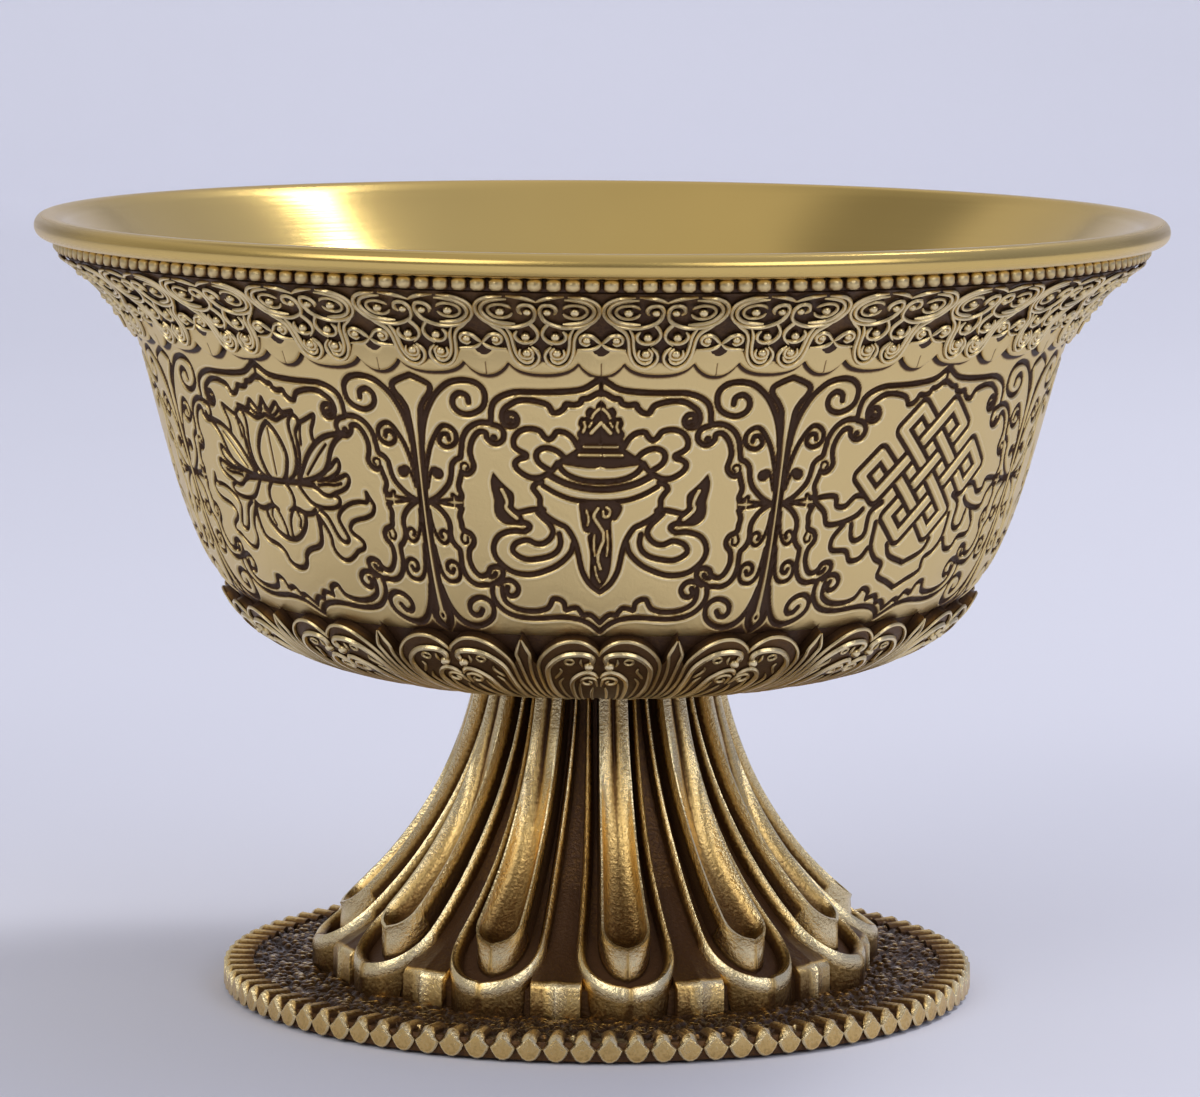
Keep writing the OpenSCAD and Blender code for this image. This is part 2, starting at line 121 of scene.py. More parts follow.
# The engraver's drawing on the wall, in mm: u to the right of a panel's middle, v above height 50.
# A line is (kind, half width or 0 for the usual one, points); a point's third number is its own half width.
# A mirrored list gives the right half only.
CARTOUCHE = [
    ("cut", 0, [(0, 11.15), (.6, 10.75), (1.2, 10.35), (2, 10.1), (3.5, 9.95), (5, 9.9), (6.5, 9.9), (7.4, 9.75),
                (8.2, 9.4), (8.75, 8.9), (9, 8.2), (9.05, 7.6), (9.2, 7.15), (9.9, 7.15), (10.6, 6.9), (11.2, 6.4),
                (11.6, 5.7), (11.75, 5), (11.85, 4.4), (11.95, 4), (12.4, 3.75), (12.75, 3.3), (12.85, 2.7),
                (12.95, 2.2), (13.2, 1.6), (13.7, 1), (14.3, .45), (15, .05)]),
    ("cut", 0, [(0, 10), (.5, 9.75), (1, 9.45), (1.5, 9.35), (1.7, 9), (2.2, 8.85), (2.8, 8.9), (3, 8.55),
                (3.4, 8.2), (3.9, 8.15), (4.1, 8.5), (4.4, 8.85), (5.2, 9.1), (6, 9.2), (6.8, 9.1), (7.4, 8.75),
                (7.85, 8.4), (8.1, 7.9), (8.1, 7.4), (7.8, 6.95), (7.35, 6.85), (6.95, 7.1), (6.85, 7.55),
                (7.1, 7.95), (7.5, 8), (7.75, 7.7), (7.65, 7.35), (7.35, 7.35)]),
    ("cut", .16, [(0, 11.1), (0, 9.7)]),
    ("cut", 0, [(9, 7), (8.4, 6.8), (8.05, 6.3), (8.15, 5.7), (8.6, 5.35), (9.1, 5.4), (9.5, 5.8), (9.55, 6.2),
                (9.9, 6.35), (10.3, 6.2), (10.7, 5.7), (10.95, 5.1), (11.05, 4.5), (10.95, 3.9), (10.8, 3.3),
                (11.05, 2.8), (11.5, 2.55), (11.95, 2.7)]),
    ("cut", .28, [(8.88, 5.85), (8.92, 5.86)]),
    ("cut", .12, [(11.95, 3), (11.9, 3.4), (11.5, 3.5), (11.3, 3.2), (11.5, 2.95)]),
    ("cut", 0, [(11.95, 2.6), (12.15, 2), (12.3, 1.5), (12.25, 1.1), (12.1, .7), (12.2, .35), (12.6, .35),
                (12.9, .6)]),
    ("cut", .16, [(12.9, .05), (12.4, .45), (12.15, .6)]),
    ("cut", .16, [(12.9, -.05), (12.4, -.5), (12.2, -.75)]),
    ("cut", 0, [(15, -.1), (14.4, -.5), (13.9, -1), (13.55, -1.6), (13.45, -2.2), (13.5, -2.8), (13.4, -3.4),
                (13.1, -3.9), (12.8, -4.2), (12.75, -4.8), (12.75, -5.6), (12.5, -6.5), (12, -7.1), (11.3, -7.35),
                (10.6, -7.3), (10.1, -7.4), (10.15, -7.9), (10.1, -8.4), (9.9, -8.9), (9.5, -9.4), (8.9, -9.85),
                (8, -10.15), (6.5, -10.3), (5, -10.2), (3.5, -10.1), (2.2, -10.25), (1.4, -10.5), (.7, -10.9),
                (0, -11.5)]),
    ("cut", 0, [(12.2, -.5), (12.45, -1.2), (12.35, -1.8), (12.3, -2.3), (12, -2.55), (11.6, -2.75), (11.35, -3.2),
                (11.45, -3.7), (11.8, -4.1), (11.95, -4.6), (11.95, -5.2), (11.7, -5.9), (11.3, -6.4), (10.8, -6.5),
                (10.3, -6.2), (10.1, -5.8), (9.6, -5.6), (9.1, -5.7), (8.9, -6.1), (9.1, -6.6), (9.6, -7),
                (10, -7.2)]),
    ("cut", .22, [(10.2, -6.55), (9.8, -6.45), (9.6, -6.2)]),
    ("cut", .12, [(12.35, -2.75), (12.5, -3.2), (12.3, -3.6), (11.95, -3.5), (11.9, -3.1)]),
    ("cut", 0, [(9.5, -7.15), (8.9, -6.85), (8.3, -6.8), (7.8, -7.1), (7.6, -7.6), (7.9, -8.1), (8.4, -8.25),
                (8.75, -7.9), (8.6, -7.45)]),
    ("cut", 0, [(9.1, -7.5), (9.15, -8), (9, -8.7), (8.5, -9.15), (7.8, -9.45), (6.8, -9.6), (5.8, -9.55),
                (5, -9.3), (4.65, -8.9), (4.4, -8.45), (3.9, -8.4), (3.4, -8.7), (3.3, -9.1), (3.2, -9.4),
                (2.7, -9.25), (2.2, -9.2), (1.85, -9.5), (1.6, -9.85), (1.1, -9.8), (.7, -9.95), (.3, -10.3),
                (0, -10.6)]),
    ("cut", 0, [(12.3, 0, .36), (12.8, 0, .42), (13.7, 0, .3), (14.6, 0, .2)]),
    ("spare", 0, [(12.05, 0, .08), (12.8, 0, .12), (13.4, 0, .05)]),
    ("spare", 0, [(12.8, .5, .04), (12.8, 0, .1), (12.8, -.5, .04)]),
]
# The tree between two panels: u is the distance from the tree's own axis
TREE = [
    ("cut", 0, [(0, 11.05), (.75, 10.75), (1.5, 10.35), (1.68, 9.95), (1.45, 9.4), (1, 8.85), (.68, 8.2)]),
    ("cut", 0, [(4.85, 8.85), (4.75, 9.4), (4.15, 9.65), (3.6, 9.25), (3.5, 8.6), (3.87, 8.05), (4.6, 7.8),
                (5.4, 8), (6, 8.45), (6.25, 9.1), (6.2, 9.9), (5.7, 10.5), (5, 10.75), (4.15, 10.75), (3.3, 10.5),
                (2.55, 9.95), (1.95, 9.3), (1.4, 8.4), (.95, 7.4), (.62, 6.2), (.45, 5)]),
    ("cut", .22, [(.28, .8), (.42, 1.9), (.62, 3), (.88, 4), (1.22, 5), (1.65, 5.8), (2.1, 6.45), (2.55, 6.75),
                  (3.1, 6.6), (3.5, 6.15), (3.55, 5.55), (3.2, 5.05), (2.6, 4.87), (2.1, 5.15), (2.05, 5.6),
                  (2.4, 6), (2.8, 5.95), (2.9, 5.55)]),
    ("cut", .5, [(1.6, 2.5), (1.64, 2.5)]),
    ("cut", 0, [(1.45, 2.85, .25), (1.15, 2.8, .2), (.85, 2.2, .15), (.6, 1.2, .12)]),
    ("cut", 0, [(.55, -7.6), (.85, -8.8), (1.25, -9.8), (1.85, -10.65), (2.6, -11.1), (3.5, -11.2), (4.45, -10.9),
                (5.2, -10.3), (5.45, -9.55), (5.25, -8.9), (4.6, -8.5), (3.8, -8.6), (3.2, -9.05), (3.05, -9.7),
                (3.4, -10.15), (3.95, -10.1), (4.3, -9.65)]),
    ("cut", .2, [(.5, -4), (.62, -5), (.8, -6.1), (1.15, -6.85), (1.7, -7.15), (2.4, -6.95), (2.7, -6.3),
                  (2.55, -5.6), (2.05, -5.3), (1.55, -5.55), (1.5, -6.1), (1.9, -6.35), (2.1, -6)]),
    ("cut", .17, [(.45, -.8), (.55, -1.9), (.78, -2.8), (1.15, -3.5), (1.6, -3.7), (2, -3.35), (2, -2.85),
                  (1.6, -2.55), (1.25, -2.8), (1.4, -3.15)]),
    ("cut", 0, [(0, 8.1, .95), (0, 7.1, .86), (0, 5.4, .7), (0, 3.2, .58), (0, 0, .5), (0, -2, .54), (0, -4.6, .58),
                (0, -7.2, .68), (0, -9.1, .95), (0, -10.3, 1.1), (0, -11.1, .6), (0, -11.75, .15)]),
    ("spare", 0, [(0, 9.4, .9), (0, 8.7, .55), (0, 8.1, .36), (0, 7.1, .25), (0, 5.4, .15), (0, 3.2, .11),
                  (0, 0, .1), (0, -4.6, .12), (0, -7.2, .14), (0, -9.1, .17), (0, -9.9, .24), (0, -10.4, .42),
                  (0, -10.8, .26), (0, -11.1, .1)]),
    ("cut", .1, [(0, -10.3), (0, -10.45)]),
]
RIBBONS = [
    ("cut", 0, [(2.35, -3.3), (2.6, -4.1), (3.2, -4.8), (4, -5.4), (5, -5.85), (6, -6.15), (7, -6.2), (8, -6),
                (8.8, -5.5), (9.4, -4.8), (9.6, -4.1), (9.45, -3.4), (9, -2.8), (8.3, -2.45), (7.5, -2.3),
                (6.7, -2.35), (6.2, -2), (6.3, -1.7), (6.8, -1.5)]),
    ("cut", 0, [(3.6, -2.5), (3.5, -3.3), (3.8, -4), (4.5, -4.5), (5.5, -4.75), (6.5, -4.85), (7.3, -4.6),
                (7.85, -4.1), (7.6, -3.5), (7, -3.2), (6.4, -3.1), (5.7, -3.4), (5, -3.35), (4.4, -2.9),
                (4.15, -2.3), (4.4, -1.7), (4.9, -1.2), (5.4, -.7)]),
    ("cut", 0, [(4.9, -.4), (5.6, -.35), (6.4, -.5), (7.1, -.7)]),
    ("hollow", 0, [(9.15, 2.8), (9.4, 2), (9.35, 1.2), (9.2, .4), (9.25, -.3), (9.2, -.9), (8.9, -1.4),
                   (8.3, -1.75), (7.4, -1.8), (6.6, -1.7), (7, -.6), (7.5, -.2), (7.45, .4), (7.5, 1), (8, 1.5),
                   (8.6, 2.1)]),
    ("spare", .16, [(8.5, 1.3), (8.25, .8), (8.1, .2), (8.2, -.3), (7.8, -.8), (7.3, -1.2)]),
]
VASE = RIBBONS + [
    ("hollow", 0, [(0, 9.3), (.35, 8.9), (.5, 8.5), (.95, 8.65), (1.25, 8.2), (1.2, 7.8), (1.65, 7.75), (1.85, 7.2),
                   (1.7, 6.8), (1.95, 6.4), (1.85, 6), (1.4, 5.65), (0, 5.6)]),
    ("spare", .12, [(.15, 8.5), (.55, 8.1), (.75, 7.7)]),
    ("spare", .12, [(1.35, 7.35), (1.3, 6.9), (1.45, 6.5)]),
    ("spare", .15, [(0, 7.3), (.4, 6.85), (.8, 6.4)]),
    ("spare", .1, [(.75, 7.3), (.95, 6.95)]),
    ("hollow", 0, [(0, 6.1), (1.6, 6.1), (1.9, 5.6), (2, 5.1), (2.6, 4.6), (3.3, 4.2), (3.6, 3.8), (3, 3.6),
                   (0, 3.5)]),
    ("spare", .1, [(0, 5.2), (1.4, 5.2)]),
    ("spare", .13, [(0, 4.45), (1.8, 4.45)]),
    ("cut", 0, [(3.6, 3.7), (3, 2.9), (2, 2.4), (1, 2.2), (0, 2.15)]),
    ("cut", .3, [(4.2, 2.6), (3, 2), (1.5, 1.6), (0, 1.45)]),
    ("cut", .22, [(4.9, 1.75), (3.8, 1.1), (2.5, .6), (1.2, .4), (0, .35)]),
    ("cut", 0, [(5, 2.1), (5.5, 1.9), (5.75, 1.5), (5.5, 1.1), (5.2, .6), (5.2, 0), (4.9, -.7), (4.3, -1.2),
                (3.6, -1.6), (3, -1.9), (2.5, -2.6), (2.15, -3.4), (1.95, -4.2), (1.8, -5), (1.6, -5.8),
                (1.2, -6.6), (.7, -7.2), (0, -7.7)]),
    ("cut", 0, [(1.9, 5.2), (2.3, 5.9), (2.9, 6.4), (3.6, 6.5), (3.9, 6.1), (4.25, 5.8), (4.65, 6), (5, 6.5),
                (5.6, 6.7), (6.3, 6.65), (6.9, 6.3), (7.25, 5.7), (7.2, 5.1), (6.8, 4.75), (6.25, 4.45), (6.3, 4.2),
                (6.8, 4.05), (7.2, 3.7), (7.1, 3.2), (6.6, 2.75), (6, 2.45), (5.5, 2.4), (5, 2.5), (4.3, 2.9)]),
    ("cut", 0, [(3.1, 4.3), (3.5, 4.7), (4.1, 5), (4.7, 5.05), (5.25, 4.75), (5.4, 4.25), (5.15, 3.7), (4.6, 3.3),
                (4.1, 3.1), (3.6, 3.75)]),
]
# The vase's hanging leaf isn't mirrored
VASE_LEAF = [
    ("hollow", 0, [(-1.8, .35), (0, .3), (1, .5), (1.9, -.05), (1.4, -1.2), (.95, -1.4), (1.07, -3.7), (.84, -6),
                   (0, -7.3), (-.86, -6.6), (-.86, -4.4), (-1.1, -2.8), (-.9, -2.4), (-1.5, -2.1), (-1.8, -.3)]),
    ("spare", .14, [(-.2, -.2), (-.55, -.9), (-.1, -1.7), (.25, -2.3), (.3, -3), (0, -3.8), (-.2, -4.7),
                    (.05, -5.6)]),
    ("spare", .12, [(.55, -.1), (.85, -.4), (.7, -.9), (.3, -.9), (.25, -.5)]),
    ("spare", .1, [(-1.2, -.4), (-1, -1.1), (-1.1, -1.7)]),
    ("spare", .1, [(-.5, -2.6), (-.55, -3.6), (-.45, -4.4)]),
    ("spare", .1, [(.6, -2.2), (.7, -3.2), (.6, -4.4)]),
    ("spare", .1, [(-.45, -5.4), (-.3, -6.2), (0, -6.8)]),
]
LOTUS = [
    ("cut", 0, [(0, 5.9), (.6, 5.4), (1.2, 4.6), (1.65, 3.6), (1.75, 2.8), (1.5, 1.9), (1.2, 1.2), (.8, .75)]),
    ("cut", .1, [(0, 5.3), (0, 1.2)]),
    ("cut", .2, [(1.5, .8), (2.2, 1.3), (2.7, 2.1), (2.9, 3), (2.9, 4), (2.75, 5), (2.7, 5.8), (2.9, 6.4),
                 (3.3, 6.8), (3.85, 6.5), (3.9, 6), (3.6, 5.6), (3.35, 5.1), (3.4, 4.2), (3.4, 3.3), (3.1, 2.2),
                 (2.7, 1.4)]),
    ("cut", .2, [(3.9, 6.1), (4.6, 6.4), (5.2, 6.7), (5.8, 6.95), (5.6, 6.3), (5.3, 5.7), (5.2, 5.1), (5.3, 4.5)]),
    ("cut", .14, [(4.1, 6), (3.9, 5.2), (3.8, 4.2)]),
    ("cut", 0, [(2.8, 1), (3.6, 2.2), (4.2, 3.1), (4.9, 3.9), (5.7, 4.6), (6.6, 5.1), (7.6, 5.35), (8.6, 5.5),
                (7.8, 4.9), (7.2, 4.2), (6.8, 3.4), (6.5, 2.7), (6.1, 2.1), (5.6, 1.7), (4.8, 1.3), (3.8, 1),
                (2.8, .85)]),
    ("cut", .12, [(3.9, 1.5), (4.8, 2.5), (5.7, 3.5), (6.6, 4.4)]),
    ("cut", .2, [(6.2, 2.1), (6.8, 2.5), (7.2, 2.9), (7.6, 3.1), (7.7, 2.6), (7.4, 2), (6.8, 1.6), (6.1, 1.3),
                 (5, 1.1)]),
    ("cut", .2, [(6.1, 1.2), (7, 1.3), (7.7, 1.6), (8.3, 1.8), (8.5, 1.4), (8.2, .8), (7.6, .4), (6.8, .1),
                 (6.1, -.2), (5.4, -.1), (4.8, .3), (4.2, .55)]),
    ("cut", .14, [(5, .65), (5.9, .8), (6.8, .8), (7.6, 1)]),
    ("cut", .2, [(2.6, .4), (3.2, -.4), (3.8, -1), (4.6, -1.3), (5.6, -1.35), (6.5, -1.2), (7, -.9), (7.1, -.4),
                 (6.6, -.1)]),
    ("cut", .28, [(0, .62), (1.4, .68), (2.8, .7), (4.4, .6)]),
    ("cut", .22, [(0, 8), (.3, 7.35), (.7, 6.9), (1.1, 7.25), (1.6, 7.7), (1.9, 7.3), (2.3, 6.9), (2.9, 7),
                  (3.4, 7.1)]),
    ("cut", .2, [(0, 6.55), (.7, 6.25), (1.3, 6.15), (2, 6.45), (2.6, 6.7)]),
    ("cut", .16, [(.2, 7.1), (.8, 6.5), (1.4, 6.7), (1.8, 7), (2.2, 6.6)]),
    ("cut", .2, [(1, .4), (1.45, -.2), (1.6, -.9), (1.4, -1.6), (.8, -2)]),
    ("cut", 0, [(1.4, -1.7), (2, -1.8), (2.7, -2.05), (3.5, -2), (4, -1.7)]),
    ("cut", 0, [(2.6, -2), (2.55, -2.7), (2.2, -3.4), (1.5, -4.1), (.7, -4.5), (0, -4.6)]),
    ("cut", .18, [(1.1, -1.9), (.65, -2.6), (.4, -3.4), (.3, -4.3)]),
    ("cut", .14, [(1.7, -2.1), (1.9, -2.7), (1.6, -3.4)]),
    ("cut", 0, [(4.1, -1.9), (4.2, -2.8), (4.1, -3.8), (3.85, -4.6), (3.3, -5), (2.6, -5.2), (1.9, -5.5), (1.4, -6),
                (1.2, -6.6), (.7, -7.05), (0, -7.2)]),
    ("cut", .2, [(4.3, -2.2), (4.9, -3.1), (5.25, -4), (5.25, -4.8), (5.5, -5.4), (6.1, -5.9), (6.8, -5.9),
                 (7.5, -5.5), (8.1, -5), (8.8, -4.7), (8.9, -4.2), (8.5, -3.8), (8, -3.5), (7.7, -3), (8.1, -2.4),
                 (8.8, -2.1), (9.6, -1.9), (10.4, -1.5), (10.7, -.8), (10.4, -.2), (10.1, .35)]),
    ("cut", .2, [(4.6, -1.6), (5.3, -2.1), (5.7, -2.8), (6, -3.5), (6.4, -4.1), (6.9, -4.3), (7.3, -4), (7.1, -3.4),
                 (6.8, -2.8), (6.6, -2.2), (6.9, -1.6), (7.5, -1.1), (8.3, -.7), (9.2, -.5), (10, -.45),
                 (10.1, .3)]),
]
KNOT_SURROUND = [
    ("cut", 0, [(4.95, -2.3), (4.85, -4.4), (4, -5.6), (2.9, -6.2), (2.9, -7.3), (1.3, -8), (0, -8.6)]),
    ("cut", 0, [(2.9, -4.4), (2.2, -5.5), (0, -6.3)]),
    ("cut", 0, [(6.8, -1), (7.5, -1.6), (9, -2.1), (10.4, -2.1), (10.9, -1), (12, .1), (11, .4), (9.95, .3),
                (9.7, -.5), (8.8, -.6), (7.9, .2), (6.9, .2)]),
    ("cut", 0, [(8.6, -2.3), (9.5, -3.45), (9.3, -4.5), (7.7, -4.7), (7, -5.6), (5.9, -5.5), (5.2, -4.6)]),
    ("cut", 0, [(7.7, -2.3), (7.45, -3.45), (6.8, -3.8), (6, -3.2), (5.9, -1.4), (4.7, -.5)]),
]
FISHES = RIBBONS + [
    ("cut", 0, [(.7, 8.2), (2.3, 7.3), (3.4, 5.4), (3.5, 3.2), (2.8, 1), (1.9, -1), (1.3, -2.8)]),
    ("cut", 0, [(.7, 8.2), (.45, 6.6), (.75, 4.8), (.95, 2.9), (.75, 1), (.6, -1), (.7, -2.8)]),
    ("cut", 0, [(1.3, -2.8), (2.2, -4), (2.2, -5.2), (1.6, -4.9), (.9, -5.8), (.4, -4.4), (.7, -2.8)]),
    ("cut", .3, [(1.6, 6.5), (1.64, 6.5)]),
    ("cut", .18, [(.8, 5.2), (1.7, 5), (2.9, 5.6)]),
    ("cut", .14, [(1.1, 3.9), (1.6, 3.4), (2.1, 3.9), (2.6, 3.4), (3.1, 3.9)]),
    ("cut", .14, [(1.1, 2.4), (1.6, 1.9), (2.1, 2.4), (2.6, 1.9)]),
    ("cut", .14, [(1, .8), (1.5, .3), (2, .8)]),
    ("cut", 0, [(3.5, 3.9), (4.7, 3.6), (5.1, 2.2), (4, 2.1), (3.2, 2)]),
]
CONCH = [
    ("cut", 0, [(-.8, 8), (.8, 7.4), (2.4, 6.2), (3.7, 4.2), (4.3, 1.8), (4.1, -.6), (3.1, -2.8), (1.6, -4.6),
                (-.2, -5.8), (-1.6, -6)]),
    ("cut", 0, [(-.8, 8), (-1.9, 7.1), (-2.4, 5.8), (-2.9, 4.4), (-3.2, 2.8), (-2.9, 1.2), (-2.3, -.4),
                (-2.1, -2.2), (-2.1, -4.2), (-1.6, -6)]),
    ("cut", 0, [(-2.4, 5.8), (-.9, 6.2), (.9, 6.7)]),
    ("cut", 0, [(-2.9, 4.2), (-.7, 4.7), (1.6, 5.4), (2.6, 6)]),
    ("cut", 0, [(-3.2, 2.6), (-.5, 3), (2, 3.4), (3.8, 3.9)]),
    ("cut", 0, [(-2.3, -.2), (-1, .6), (.2, .6), (.9, -.4), (.8, -2), (.1, -3.6), (-.9, -5), (-1.6, -6)]),
    ("cut", .2, [(-1.3, -.6), (-.3, -.4), (0, -1.2), (-.2, -2.6), (-.9, -4.2)]),
]
PARASOL = RIBBONS + [
    ("cut", 0, [(5.2, 3), (4.5, 5.2), (2.7, 6.8), (0, 7.6)]),
    ("cut", .2, [(0, 9), (.6, 8.4), (.4, 7.9), (.8, 7.5)]),
    ("cut", .2, [(0, 7.4), (1.5, 5.9), (2.1, 3)]),
    ("cut", 0, [(5.2, 3), (2.6, 2.5), (0, 2.4)]),
    ("cut", 0, [(5.2, 3), (5.1, 1.7), (4.2, .9), (3.4, 1.6), (2.6, .8), (1.7, 1.5), (.9, .7), (0, 1.4)]),
    ("cut", 0, [(.4, 1), (.4, -6.8), (0, -7.4)]),
]
BANNER = RIBBONS + [
    ("cut", .2, [(0, 9), (.6, 8.4), (.4, 7.9), (1.2, 7.4)]),
    ("cut", 0, [(0, 7.4), (2.2, 6.6), (3.6, 5.4), (2.7, 5.5), (0, 5.2)]),
    ("cut", 0, [(2.4, 5.4), (2.4, -2.4)]),
    ("cut", .2, [(2.4, 4.2), (0, 3.8)]),
    ("cut", .2, [(2.4, 2.8), (1.6, 2), (.8, 2.7), (0, 2)]),
    ("cut", .2, [(2.4, .6), (0, .2)]),
    ("cut", .2, [(2.4, -.8), (1.6, -1.6), (.8, -.9), (0, -1.6)]),
    ("cut", 0, [(2.4, -2.4), (1.2, -3.2), (0, -2.6)]),
    ("cut", 0, [(.4, -3), (.4, -6.8), (0, -7.4)]),
]
# The collar's wire scrolls and granules in mm, right half of one repeat: u from the gap's middle, s up the flare
REPEAT = 10.32
WIRES = [
    [(2.6, 9.8), (1.7, 9.7), (.9, 9.3), (.35, 8.6), (.15, 7.8), (.25, 7), (.7, 6.2), (1.4, 5.7), (2.3, 5.45),
     (3.3, 5.45), (4.2, 5.85), (4.75, 6.4), (4.95, 7.2), (4.9, 7.9), (4.6, 8.45), (4.1, 8.5), (3.75, 8.15),
     (3.65, 7.6), (3.85, 7.15)],
    [(2.9, 9.35), (2, 9.3), (1.2, 8.9), (.7, 8.2), (.6, 7.4), (.95, 6.6), (1.6, 6.1), (2.5, 5.9), (3.2, 5.85)],
    [(2.9, 9.85), (3.7, 9.75), (4.5, 9.45), (5.16, 8.95)],
    [(4.5, 6.1), (4.45, 5.8), (4.75, 5.3), (4.95, 4.75), (4.9, 4.2), (4.6, 3.75), (4.2, 3.3)],
    [(3.25, 4.95), (3, 4.5), (3.1, 3.95), (3.55, 3.6), (4.1, 3.6), (4.6, 3.85)],
    [(.75, 6.05), (1.3, 5.5), (1.95, 4.85), (2.25, 4.1), (2.35, 3.2), (2.5, 2.2), (2.9, 1.4), (3.5, 1), (4.1, 1),
     (4.65, 1.4), (4.9, 2), (4.75, 2.6), (4.3, 3.1)],
    [(2.3, 5.3), (2.65, 4.4), (2.75, 3.3), (2.9, 2.4), (3.25, 1.75), (3.75, 1.45), (4.2, 1.6), (4.45, 2)],
    [(3.3, 2.85), (3.2, 2.35), (3.45, 2), (3.9, 1.9), (4.3, 2.1), (4.35, 2.6), (4, 2.95)],
    [(0, 3.45), (.35, 3.85), (.8, 4.35), (1.35, 4.5), (1.75, 4.2), (1.75, 3.7), (1.3, 3.4), (.95, 3.55)],
    [(0, 3.5), (.4, 3.1), (1, 2.85), (2.1, 2.8)],
]
GRANULES = [(2.15, 7.55, .42), (4.35, 7.5, .36), (3.9, 4.3, .42), (3.85, 2.45, .42), (1.25, 3.95, .38)]
SCALLOPS = [(0, .38), (.5, .43), (1, .62), (1.5, .98), (1.8, 1.3), (2.02, 1.65), (2.3, 1.32), (2.8, .95), (3.5, .69),
            (4.3, .56), (5.16, .52)]
SCALLOP_NOTCH = 5
# The calyx's heart scroll in mm, right half: u from the heart's middle, s up the belly from its flat bottom.
# A line is (ridge radius, rise, points).
HEART_PITCH = 13.35
HEARTS = [
    (.2, .1, [(0, 22.2), (.3, 22.9), (1, 23.6), (1.8, 23.95), (2.8, 23.9), (3.8, 23.4), (4.6, 22.6), (5.2, 21.6),
              (5.5, 20.5), (5.55, 19), (5.55, 17), (5.6, 15), (5.6, 10), (5.5, 4), (5.4, 1)]),
    (.3, .16, [(.8, 20.8), (.6, 21.4), (.6, 21.95), (1, 22.35), (1.8, 22.5), (2.8, 22.35), (3.6, 21.85), (4.3, 21),
               (4.7, 20), (4.82, 18.5), (4.85, 16.5), (4.8, 15), (4.5, 10), (4.3, 4), (4.2, 1)]),
    (.28, .16, [(.15, 18.6), (.5, 19.3), (1, 19.65), (1.6, 19.4), (2.1, 18.8), (2.5, 18), (2.7, 16.8), (2.75, 15),
                (2.8, 10), (2.8, 4), (2.8, 1)]),
    (.2, .12, [(.2, 16.2), (.3, 17.6), (.45, 18.2), (1, 18.5), (1.5, 18.2), (1.7, 17.6), (1.4, 17), (.95, 16.95),
               (.75, 17.35), (1, 17.7)]),
    (.17, .1, [(3.6, 20.2), (3.5, 19.6), (4, 18.6), (4.2, 18.2)]),
    (.17, .1, [(3.4, 18.2), (3.8, 17.4), (3.9, 16.5), (3.8, 14), (3.6, 8), (3.5, 1)]),
    (.15, .12, [(2.2, 21.3), (2.45, 21.65), (2.85, 21.65), (3.05, 21.3), (2.85, 20.95), (2.45, 20.95),
                (2.2, 21.3)]),
    (.17, .1, [(1.6, 21.7), (1.65, 21.1), (1.5, 20.6)]),
    (.2, .12, [(1.9, 17), (2, 15), (2.1, 10), (2.1, 4), (2.1, 1)]),
    (.22, .12, [(.6, 15.8), (.8, 14), (.9, 10), (.9, 4), (.9, 1)]),
    (.18, .14, [(6.62, 24), (6.3, 23), (6.08, 22.2), (6.2, 21.2), (6.3, 19), (6.3, 16), (6.3, 10), (6.3, 1)]),
]
HEART_BALLS = [(.9, 20.75, .5)]
HEART_EDGE = [(0, 22.3), (.3, 22.9), (1, 23.65), (1.8, 24), (2.8, 23.95), (3.8, 23.45), (4.6, 22.65), (5.2, 21.7),
              (5.5, 20.8), (5.75, 20.4), (5.95, 21.4), (6.2, 22.7), (6.45, 23.6), (6.68, 24.1)]


def bezier(start, pull_out, pull_in, end, steps=40):
    """A curve from start to end, drawn out along pull_out and arriving along pull_in."""
    p0, p3 = np.array(start, float), np.array(end, float)
    p1, p2 = p0 + pull_out, p3 - pull_in
    t = np.linspace(0, 1, steps + 1)[:, None]
    return (1 - t) ** 3 * p0 + 3 * (1 - t) ** 2 * t * p1 + 3 * (1 - t) * t * t * p2 + t ** 3 * p3


def wall(inset=0.0):
    """The engraved wall's outline, from its foot up to the waist."""
    return bezier(WALL_FOOT, WALL_SWELL, WAIST_PULL, WAIST) - (inset, 0)


def flare(inset=0.0):
    """The collar's outline, from the waist out to the land under the lip."""
    return bezier(WAIST, FLARE_FOOT, FLARE_HEAD, LAND) - (inset, 0)


def underside(inset, top_z, steps=36):
    """The round belly from the edge of its flat bottom up to the level top_z."""
    end = math.asin((BELLY_Z - top_z) / (BELLY_H - inset))
    a = np.linspace(math.pi / 2, end, steps + 1)
    return np.c_[BELLY_FLAT_R + (BELLY_R - BELLY_FLAT_R - inset) * np.cos(a), BELLY_Z - (BELLY_H - inset) * np.sin(a)]


def smooth(points, steps=5):
    """A flowing line through drawn points."""
    p = np.array(points, float)
    p = np.vstack([2 * p[0] - p[1], p, 2 * p[-1] - p[-2]])
    t = np.arange(steps)[:, None] / steps
    a, b, c, d = p[:-3, None], p[1:-2, None], p[2:-1, None], p[3:, None]
    line = .5 * (2 * b + (c - a) * t + (2 * a - 5 * b + 4 * c - d) * t ** 2 + (3 * b - a - 3 * c + d) * t ** 3)
    return np.vstack([line.reshape(-1, p.shape[1]), p[-2]])


def scallop_edge():
    """The collar's scalloped lower edge over half a repeat."""
    narrow, wide = SCALLOPS[:SCALLOP_NOTCH + 1], SCALLOPS[SCALLOP_NOTCH:]
    return np.vstack([smooth(narrow), smooth(wide)[1:]])


def eased(x):
    """0 to 1, with a soft start and a soft end."""
    x = np.clip(x, 0, 1)
    return x * x * (3 - 2 * x)


